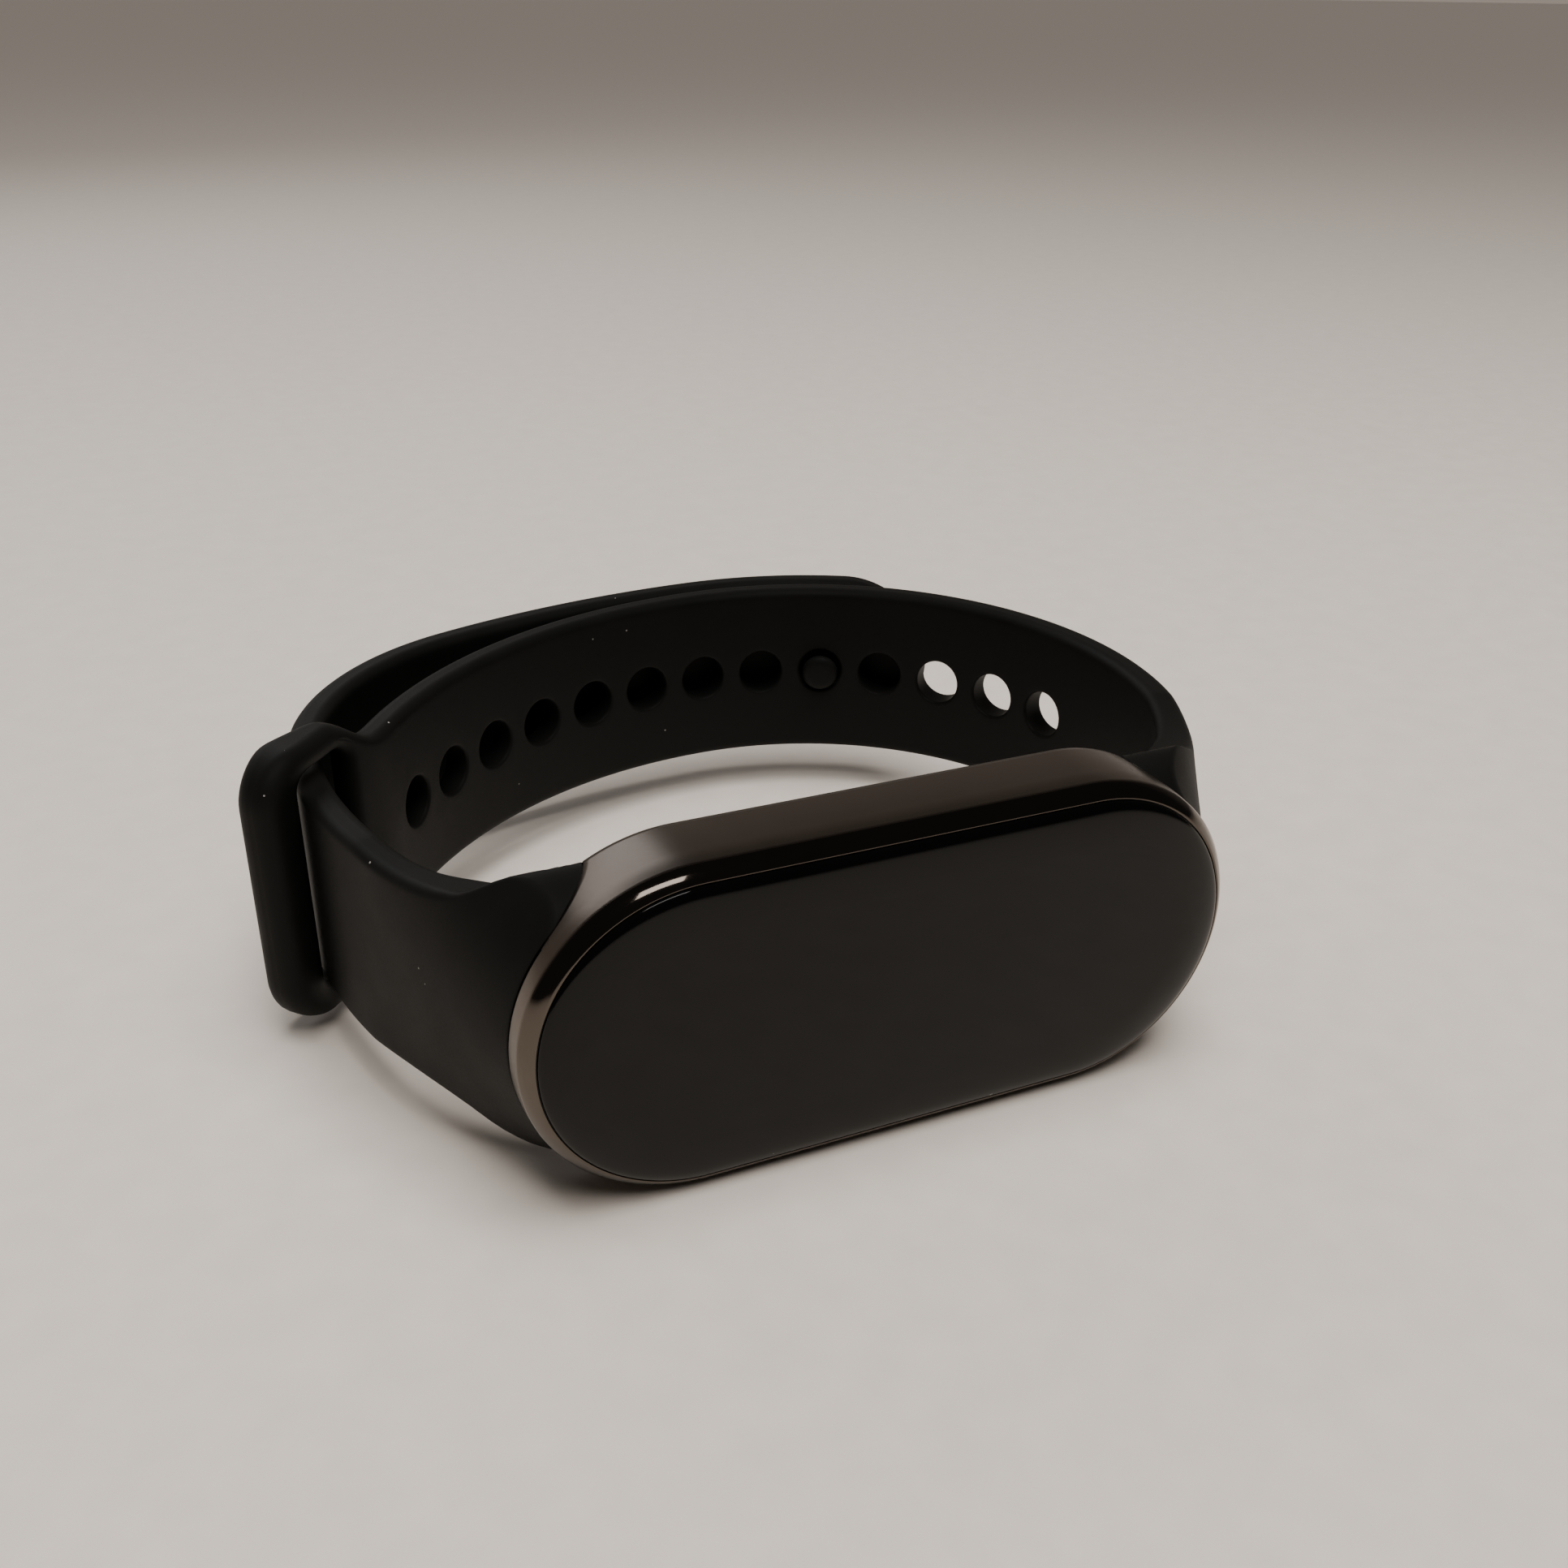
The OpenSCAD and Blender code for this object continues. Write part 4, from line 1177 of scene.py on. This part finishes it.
def window_loop(s0: float, s1: float, half: float, corner: float, step: float = 0.3) -> Array:
    """A clockwise rectangle in (s, w) with round corners, its points evenly spaced.

    Args:
        s0: where it starts along the strap.
        s1: where it ends.
        half: half its width.
        corner: radius of its corners.
        step: spacing of its points.

    Returns:
        The outline.
    """
    t = np.linspace(0, np.pi / 2, 9)
    corners = []
    for cs, cw, turn in ((s1 - corner, half - corner, 0), (s0 + corner, half - corner, 1),
                         (s0 + corner, corner - half, 2), (s1 - corner, corner - half, 3)):
        a = t + turn * np.pi / 2
        corners.append(np.stack([cs + corner * np.cos(a), cw + corner * np.sin(a)], axis=1))
    loop = np.vstack(corners)
    return resample(loop, step)[::-1]


def resample(loop: Array, step: float) -> Array:
    """Spaces a closed outline's points evenly, at most step apart.

    Args:
        loop: the outline.
        step: the largest spacing.

    Returns:
        The outline with its new points.
    """
    closed = np.vstack([loop, loop[:1]])
    run = np.concatenate([[0], np.cumsum(np.linalg.norm(np.diff(closed, axis=0), axis=1))])
    at = np.linspace(0, run[-1], max(8, int(run[-1] / step)), endpoint=False)
    return np.stack([np.interp(at, run, closed[:, k]) for k in range(2)], axis=1)


@dataclass
class Straps:
    """Both straps, and the stud that closes them.

    Attributes:
        design: the band's sizes.
        hole_radius: radius of the adjustment holes.
        hole_pitch: distance between them.
        hole_count: how many there are.
        stud_step: holes between the crown and the stud.
        loop_tilt: how far the loop leans, in degrees.
        cross_at: distance along the loop to where the stud strap passes through.
        bar_offset: from there to the middle of the loop's bar.
        bar_radius: radius of the bar.
        loop_arm: width of the loop's sides.
        loop_play: room beside the stud strap in the loop.
        loop_corner: radius of the loop's outer corners.
        turn_radius: radius of the bend before the loop.
        side_y: distance behind the display of the band's widest line.
        corner_radius: radius of the stud strap's bend on the left.
        edge: radius of the straps' edges.
        edge_at_frame: the same where a strap lies in the frame.
        hole_edge: radius of the holes' edges.
        edge_most: largest radius of an edge, at the bar.
        stud_radius: radius of the stud's cap.
        stud_rise: how far the cap stands out of the tail.
        bend_span: where the tail's bend starts and ends, from the crown; not used.
    """

    design: Design
    hole_radius: float = 1.9
    hole_pitch: float = 5.5
    hole_count: int = 13
    stud_step: int = 2
    loop_tilt: float = 42.0
    cross_at: float = 4.9
    bar_offset: float = 3.97
    bar_radius: float = 1.7
    loop_arm: float = 2.0
    loop_play: float = 0.7
    loop_corner: float = 3.6
    turn_radius: float = 12.0
    side_y: float = 25.55
    corner_radius: float = 20.4
    edge: float = 0.75
    edge_at_frame: float = 0.28
    hole_edge: float = 0.28
    edge_most: float = 1.5
    stud_radius: float = 2.9
    stud_rise: float = 0.15
    bend_span: tuple[float, float] = (-3.5, 4.5)

    def __post_init__(self) -> None:
        """Works out the stretches of both straps, each tangent to the next."""
        d = self.design
        half = d.strap_thick / 2
        end_x = d.length / 2
        top = d.depth + half
        dx, dy = end_x - d.crown_x, d.depth - d.root_y
        self.r1 = (dx * dx + dy * dy) / (2 * dy) + half
        self.c1 = (d.crown_x, top - self.r1)
        left = -(end_x + d.bulge) + half
        tilt = math.radians(self.loop_tilt)
        along = np.array([-math.cos(tilt), -math.sin(tilt)])
        out = np.array([-math.sin(tilt), math.cos(tilt)])
        self.loop_start = np.array([left, self.side_y - 1.2]) - self.cross_at * along
        c3 = self.loop_start + self.turn_radius * out
        k = c3[1] - top
        r2 = ((c3[0] - d.crown_x) ** 2 + k * k - self.turn_radius**2) / (2 * (self.turn_radius - k))
        c2 = (d.crown_x, top - r2)
        bend = math.degrees(math.atan2(c3[1] - c2[1], c3[0] - c2[0]))
        join = math.degrees(math.asin((d.root_to - self.c1[1]) / self.r1))
        self.hole_arcs = [
            Arc(self.c1, self.r1, join, 90),
            Arc(c2, r2, 90, bend),
            Arc(tuple(c3), self.turn_radius, bend - 180, self.loop_tilt - 90, -1),
            Arc(tuple(self.loop_start), 0.0, self.loop_tilt + 180, 0, 1, 12.0),
        ]
        root_x, root_y = -end_x - 0.6 + half, d.root_y - 1.6
        ra = ((root_x - left) ** 2 + (self.side_y - root_y) ** 2) / (2 * (root_x - left))
        ca = (left + ra, self.side_y)
        cb = (left + self.corner_radius, self.side_y)
        self.tail_r = self.r1 + d.strap_thick + d.lay_gap
        peak = self.c1[1] + self.tail_r
        px, py = d.crown_x - cb[0], peak - cb[1]
        rc = (px * px + py * py - self.corner_radius**2) / (2 * (py - self.corner_radius))
        cc = (d.crown_x, peak - rc)
        turn = math.degrees(math.atan2(cb[1] - cc[1], cb[0] - cc[0]))
        start = 180 + math.degrees(math.asin((self.side_y - d.root_to) / ra))
        self.stud_angle = 90 - math.degrees(self.stud_step * self.hole_pitch / self.r1)
        self.stud_arcs = [
            Arc(ca, ra, start, 180),
            Arc(cb, self.corner_radius, 180, turn),
            Arc(cc, rc, turn, 90),
            Arc(self.c1, self.tail_r, 90, 20),
        ]

    def rim(self, s: Array) -> Array:
        """Edge radius s along a strap: crisp where the end lies in the frame, then the strap's own."""
        return self.edge_at_frame + (self.edge - self.edge_at_frame) * smooth_step((s - 3.6) / 4.4)

    def make_hole_strap(self, material: bpy.types.Material) -> bpy.types.Object:
        """Builds the strap with the holes; its far end widens into the loop's window and bar.

        Args:
            material: the strap's finish.

        Returns:
            The strap's object.
        """
        d = self.design
        root = Root(d, 1, self.hole_arcs[0])
        crown = root.length + self.hole_arcs[0].length
        plate = root.length + sum(a.length for a in self.hole_arcs[:3])
        bar = plate + self.cross_at + self.bar_offset
        finish = bar + self.bar_radius
        window_half = d.strap_width / 2 + self.loop_play
        loop_half = window_half + self.loop_arm
        corner = self.loop_corner

        def thick(s: Array) -> Array:
            """Strap thickness, swelling to the bar's over the loop."""
            swell = smooth_step((s - plate - 1) / (bar - plate - 2))
            return d.strap_thick + (2 * self.bar_radius - d.strap_thick) * swell

        def rounding(s: Array) -> Array:
            """Edge radius, growing at the loop and again at the bar."""
            loop = self.rim(s) + (0.97 - self.edge) * smooth_step((s - plate) / 3)
            return np.minimum(loop + 0.5 * smooth_step((s - finish + corner) / corner), self.edge_most)

        def half_width(s: Array) -> Array:
            """Half width of the strap and of the loop past it."""
            flare = (loop_half - d.strap_width / 2) * smooth_step((s - plate + 1.6) / 5.2)
            return np.where(s < root.length, root.half_width(s), d.strap_width / 2 + flare)

        s = np.concatenate([root.edge_stations(), np.arange(root.length, finish - corner, 0.5)])
        t = np.linspace(0, np.pi / 2, 13)
        tip_w = loop_half - corner + corner * np.cos(t)
        tip = np.stack([finish - corner + corner * np.sin(t), tip_w], axis=1)
        upper = np.vstack([np.stack([s, half_width(s)], axis=1), tip])
        w_end = np.arange(upper[-1, 1] - 0.5, 0, -0.5)
        end = np.stack([np.full(len(w_end), finish), w_end], axis=1)
        start_w = np.arange(0.25, upper[0, 1] - 0.1, 0.5)
        start = np.stack([np.zeros(len(start_w)), start_w], axis=1)
        half = np.vstack([start, upper, end])
        outline = np.vstack([half, half[::-1] * (1, -1)])[::-1]
        number = np.arange(self.hole_count) - (self.hole_count - 1) / 2
        rings = [circle_loop(crown + i * self.hole_pitch, 0.0, self.hole_radius) for i in number]
        holes = [(ring, np.full(len(ring), self.hole_edge)) for ring in rings]
        window = window_loop(plate + 1.9, bar - self.bar_radius - 0.08, window_half, 1.2)
        near_bar = smooth_step((window[:, 0] - bar + self.bar_radius + 1.2) / 1.2)
        holes.append((window, 0.95 + 0.5 * near_bar))
        shape = Shape()
        band = Band(root, self.hole_arcs, thick, rounding)
        band.solid(shape, outline, holes)
        return shape.make("hole_strap_rubber", [material])

    def make_stud_strap(self, material: bpy.types.Material) -> bpy.types.Object:
        """Builds the strap with the stud, with a round tip.

        Args:
            material: the strap's finish.

        Returns:
            The strap's object.
        """
        d = self.design
        root = Root(d, -1, self.stud_arcs[0])
        crown = root.length + sum(a.length for a in self.stud_arcs[:3])
        tip_angle = self.stud_angle - math.degrees(2 / self.tail_r)
        tip = crown + math.radians(90 - tip_angle) * self.tail_r
        half = d.strap_width / 2

        def half_width(s: Array) -> Array:
            """Half width of the strap up to the tip's centre."""
            return np.where(s < root.length, root.half_width(s), half)

        s = np.concatenate([root.edge_stations(), np.arange(root.length, tip, 0.5)])
        t = np.linspace(0, np.pi / 2, 28)
        nose = np.stack([tip + half * np.sin(t), half * np.cos(t)], axis=1)
        upper = np.vstack([np.stack([s, half_width(s)], axis=1), nose[:-1]])
        start_w = np.arange(0.25, upper[0, 1] - 0.1, 0.5)
        start = np.stack([np.zeros(len(start_w)), start_w], axis=1)
        side = np.vstack([start, upper])
        outline = np.vstack([side, nose[-1:] * (1, 0), side[::-1] * (1, -1)])[::-1]
        shape = Shape()
        band = Band(root, self.stud_arcs, lambda q: np.full(np.shape(q), d.strap_thick), self.rim)
        band.solid(shape, outline, [])
        return shape.make("stud_strap_rubber", [material])

    def turned(self, name: str, profile: Array, finish: Finish) -> bpy.types.Object:
        """Turns a profile round the stud's axis, which points out of the band through the tail.

        Args:
            name: the piece's name.
            profile: rows of (radius, distance out from the tail's middle).
            finish: what it is made of.

        Returns:
            The piece's object.
        """
        a = math.radians(self.stud_angle)
        turn = np.linspace(0, 2 * np.pi, 49)[:-1]
        r, out = profile[:, :1], self.tail_r + profile[:, 1:] + 0 * turn
        x = self.c1[0] + out * math.cos(a) - r * np.cos(turn) * math.sin(a)
        y = self.c1[1] + out * math.sin(a) + r * np.cos(turn) * math.cos(a)
        shape = Shape()
        shape.add_rings(np.stack([x, y, self.design.mid_z + r * np.sin(turn)], axis=-1))
        return shape.make(name, [finish.make()])

    def make_stud(self) -> tuple[bpy.types.Object, bpy.types.Object]:
        """Builds the stud: a shallow, round-edged cap outside the tail, and a waisted post that snaps in.

        Returns:
            The cap and the post.
        """
        half = self.design.strap_thick / 2
        r, top = self.stud_radius, half + self.stud_rise
        rim = arc_profile((r, top - 0.3), (r - 0.32, top), 8, True)
        low = top - 0.07
        dish = [[r - 0.5, top - 0.01], [r - 0.7, top - 0.05], [r * 0.4, low], [r * 0.1, low]]
        cap = self.turned("stud_cap_disc", np.vstack([[[r - 0.1, 0.1], [r, 0.2]], rim, dish]), STUD_METAL)
        foot = -(self.tail_r - self.r1) - half - 0.25
        neck, snap = self.hole_radius - 0.7, self.hole_radius - 0.35
        head = arc_profile((snap, foot - 0.28), (snap - 0.75, foot - 0.7), 8, True)
        waist = [[neck, 0.3], [neck, foot + 0.35], [neck + 0.08, foot + 0.15]]
        barb = [[snap - 0.1, foot], [snap, foot - 0.08]]
        profile = np.vstack([waist, barb, head, [[snap * 0.2, foot - 0.72]]])
        post = self.turned("stud_post_pin", profile, STUD_PIN)
        return cap, post

    def build(self) -> list[bpy.types.Object]:
        """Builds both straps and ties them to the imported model.

        Returns:
            The pieces.
        """
        material = SILICONE.make()
        holes = self.make_hole_strap(material)
        tie(holes, "tracker", "hole_strap")
        stud = self.make_stud_strap(material)
        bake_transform(stud)
        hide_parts("stud_strap", "strap_tail")
        cap, post = self.make_stud()
        for piece, node in ((cap, "stud_cap"), (post, "stud_post")):
            tie(piece, "tail", node)
        return [holes, stud, cap, post]


# ---------------------------------------------------------------- quick release


@dataclass
class LeafSpring:
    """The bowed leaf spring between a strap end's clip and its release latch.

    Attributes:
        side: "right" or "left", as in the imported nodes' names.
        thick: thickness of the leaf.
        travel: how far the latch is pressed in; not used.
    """

    side: str
    thick: float = 0.12
    travel: float = 0.6

    def build(self) -> bpy.types.Object:
        """Builds the leaf, bowed by half a sine wave over its feet.

        Returns:
            The spring's object.
        """
        node = f"latch_spring_{self.side}"
        low, high = (np.array(corner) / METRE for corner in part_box(node))
        room = high[1] - low[1]
        t = np.linspace(0, 1, 41)[:, None]
        bow = np.sin(np.pi * t) * (room - self.thick)
        soft = self.thick * 0.3
        face = np.array([0, 0, soft, self.thick - soft, self.thick, self.thick, self.thick - soft, soft])
        z0, z1 = low[2], high[2]
        across = np.array([z0 + soft, z1 - soft, z1, z1, z1 - soft, z0 + soft, z0, z0])
        run = low[0] + (high[0] - low[0]) * t
        shape = Shape()
        shape.add_rings(np.stack([run + 0 * face, high[1] - bow - face, across + 0 * t], axis=-1))
        spring = shape.make(f"leaf_spring_{self.side}", [SPRING.make()])
        tie(spring, "tracker", node)
        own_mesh(spring)
        return spring


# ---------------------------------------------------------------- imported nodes, stage and camera


def dress_nodes() -> None:
    """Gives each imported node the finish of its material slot."""
    finishes = slot_finishes()
    materials = {slot: finish.make() for slot, finish in finishes.items()}
    for part in frame["record"]["subparts"]:
        node = frame["nodes"][part["node"]]
        for holder in node.material_slots:
            holder.material = materials[part["material_slot"]]


@dataclass
class Studio:
    """A pale floor, soft light and the camera.

    Attributes:
        eye: the camera's place, in millimetres.
        azimuth: the camera's heading round the object, in degrees.
        elevation: its height over the horizon.
        roll: its roll.
        lens: focal length in millimetres, for the sensor below.
        sensor: width of the camera's sensor, in millimetres.
        floor_radius: radius of the floor, in millimetres.
        sun_power: strength of the light from the ceiling.
        sun_spread: how wide it is, in degrees.
    """

    eye: tuple[float, float, float] = (-38.8, -73.65, 65.85)
    azimuth: float = -23.7
    elevation: float = 27.15
    roll: float = 0.71
    lens: float = 36.06
    sensor: float = 36.0
    floor_radius: float = 9000.0
    sun_power: float = 0.8
    sun_spread: float = 40.0

    def make_floor(self) -> bpy.types.Object:
        """A round pale sheet, large enough to hide its edge, with a soft mottle.

        Returns:
            The floor's object.
        """
        turn = np.linspace(0, 2 * np.pi, 97)[:-1]
        edge = self.floor_radius * np.stack([np.cos(turn), np.sin(turn), 0 * turn], axis=1)
        shape = Shape()
        shape.add(edge, [list(range(len(turn)))])
        finish = Finish("pale_floor", (0.62, 0.56, 0.5), Look.PLASTIC, 0.6, 0.15, 1.2, 0.01, 0.03)
        floor = shape.make("floor", [finish.make()])
        return floor

    def make_light(self, name: str, place: tuple, size: tuple, power: float, color: Color,
                   aim: tuple = (0, 15, 8), mirrored: bool = True) -> None:
        """An area light aimed at a point.

        Args:
            name: the light's name.
            place: where it stands, in millimetres.
            size: its width and height, in millimetres.
            power: its power in watts.
            color: its colour.
            aim: the point that it faces.
            mirrored: whether glossy surfaces show it.
        """
        lamp = bpy.data.lights.new(name, "AREA")
        lamp.shape = "RECTANGLE"
        lamp.size, lamp.size_y = size[0] * METRE, size[1] * METRE
        lamp.energy = power
        lamp.color = color
        light = bpy.data.objects.new(name, lamp)
        start, end = Vector(place) * METRE, Vector(aim) * METRE
        light.location = start
        light.visible_glossy = mirrored
        light.rotation_euler = (end - start).to_track_quat("-Z", "Y").to_euler()
        bpy.context.scene.collection.objects.link(light)

    def make_world(self) -> None:
        """A dim room whose far side is warm and brighter towards the horizon."""
        world = bpy.data.worlds.new("soft_room")
        world.use_nodes = True
        nodes = Nodes(world.node_tree)
        place = nodes.add("TexCoord", {})["Generated"]
        split = nodes.add("SeparateXYZ", {0: place})
        far = nodes.spread(split["Y"], (-0.1, 0.75), (0.0, 1.0), "SMOOTHSTEP")
        low = nodes.spread(split["Z"], (0.35, 0.9), (1.0, 0.0), "SMOOTHSTEP")
        dim, warm = (0.045, 0.043, 0.041, 1), (0.31, 0.265, 0.225, 1)
        color = nodes.mix(nodes.math("MULTIPLY", far, low), dim, warm)
        nodes.tree.links.new(color, nodes.tree.nodes["Background"].inputs["Color"])
        bpy.context.scene.world = world

    def make_sun(self) -> None:
        """Even light from straight above, as from a pale ceiling."""
        lamp = bpy.data.lights.new("ceiling", "SUN")
        lamp.energy = self.sun_power
        lamp.angle = math.radians(self.sun_spread)
        lamp.color = (1.0, 0.975, 0.95)
        sun = bpy.data.objects.new("ceiling", lamp)
        sun.visible_glossy = False
        sun.rotation_euler = Vector((-0.05, 0.06, -1.0)).to_track_quat("-Z", "Y").to_euler()
        bpy.context.scene.collection.objects.link(sun)

    def make_camera(self) -> None:
        """Places the camera by azimuth, elevation and roll."""
        a, e, r = (math.radians(v) for v in (self.azimuth, self.elevation, self.roll))
        back = Vector((math.sin(a) * math.cos(e), -math.cos(a) * math.cos(e), math.sin(e)))
        right = (-back).cross(Vector((0, 0, 1))).normalized()
        up = right.cross(-back)
        right, up = right * math.cos(r) + up * math.sin(r), up * math.cos(r) - right * math.sin(r)
        data = bpy.data.cameras.new("camera")
        data.lens = self.lens
        data.sensor_width = self.sensor
        data.clip_start = 0.002
        camera = bpy.data.objects.new("camera", data)
        turn = Matrix((right, up, back)).transposed().to_4x4()
        camera.matrix_world = Matrix.Translation(Vector(self.eye) * METRE) @ turn
        bpy.context.scene.collection.objects.link(camera)
        bpy.context.scene.camera = camera

    def build(self) -> None:
        """Builds the stage, the lights and the camera."""
        self.make_camera()
        self.make_floor()
        self.make_world()
        self.make_sun()
        warm, cool, plain = (1.0, 0.97, 0.93), (0.97, 0.98, 1.0), (1.0, 0.98, 0.95)
        self.make_light("window_left", (-44, -248, 429), (200, 110), 0.5, warm, (-16, -3, 20))
        self.make_light("window_back", (-120, 430, 300), (360, 200), 0.5, cool, (0, 40, 10))
        self.make_light("soft_top", (20, -60, 480), (340, 340), 3.0, plain, mirrored=False)


def main() -> None:
    """Builds the scene in order and reports each piece."""
    logging.basicConfig(level=logging.INFO, format="%(name)s: %(message)s")
    design = Design.from_frame()
    Studio().build()
    dress_nodes()
    springs = [LeafSpring(side).build() for side in ("right", "left")]
    pieces = [*Tracker(design).build(), *Straps(design).build(), *springs]
    for piece in pieces:
        log.info("%s: %d faces", piece.name, len(piece.data.polygons))


if __name__ == "__main__":
    main()
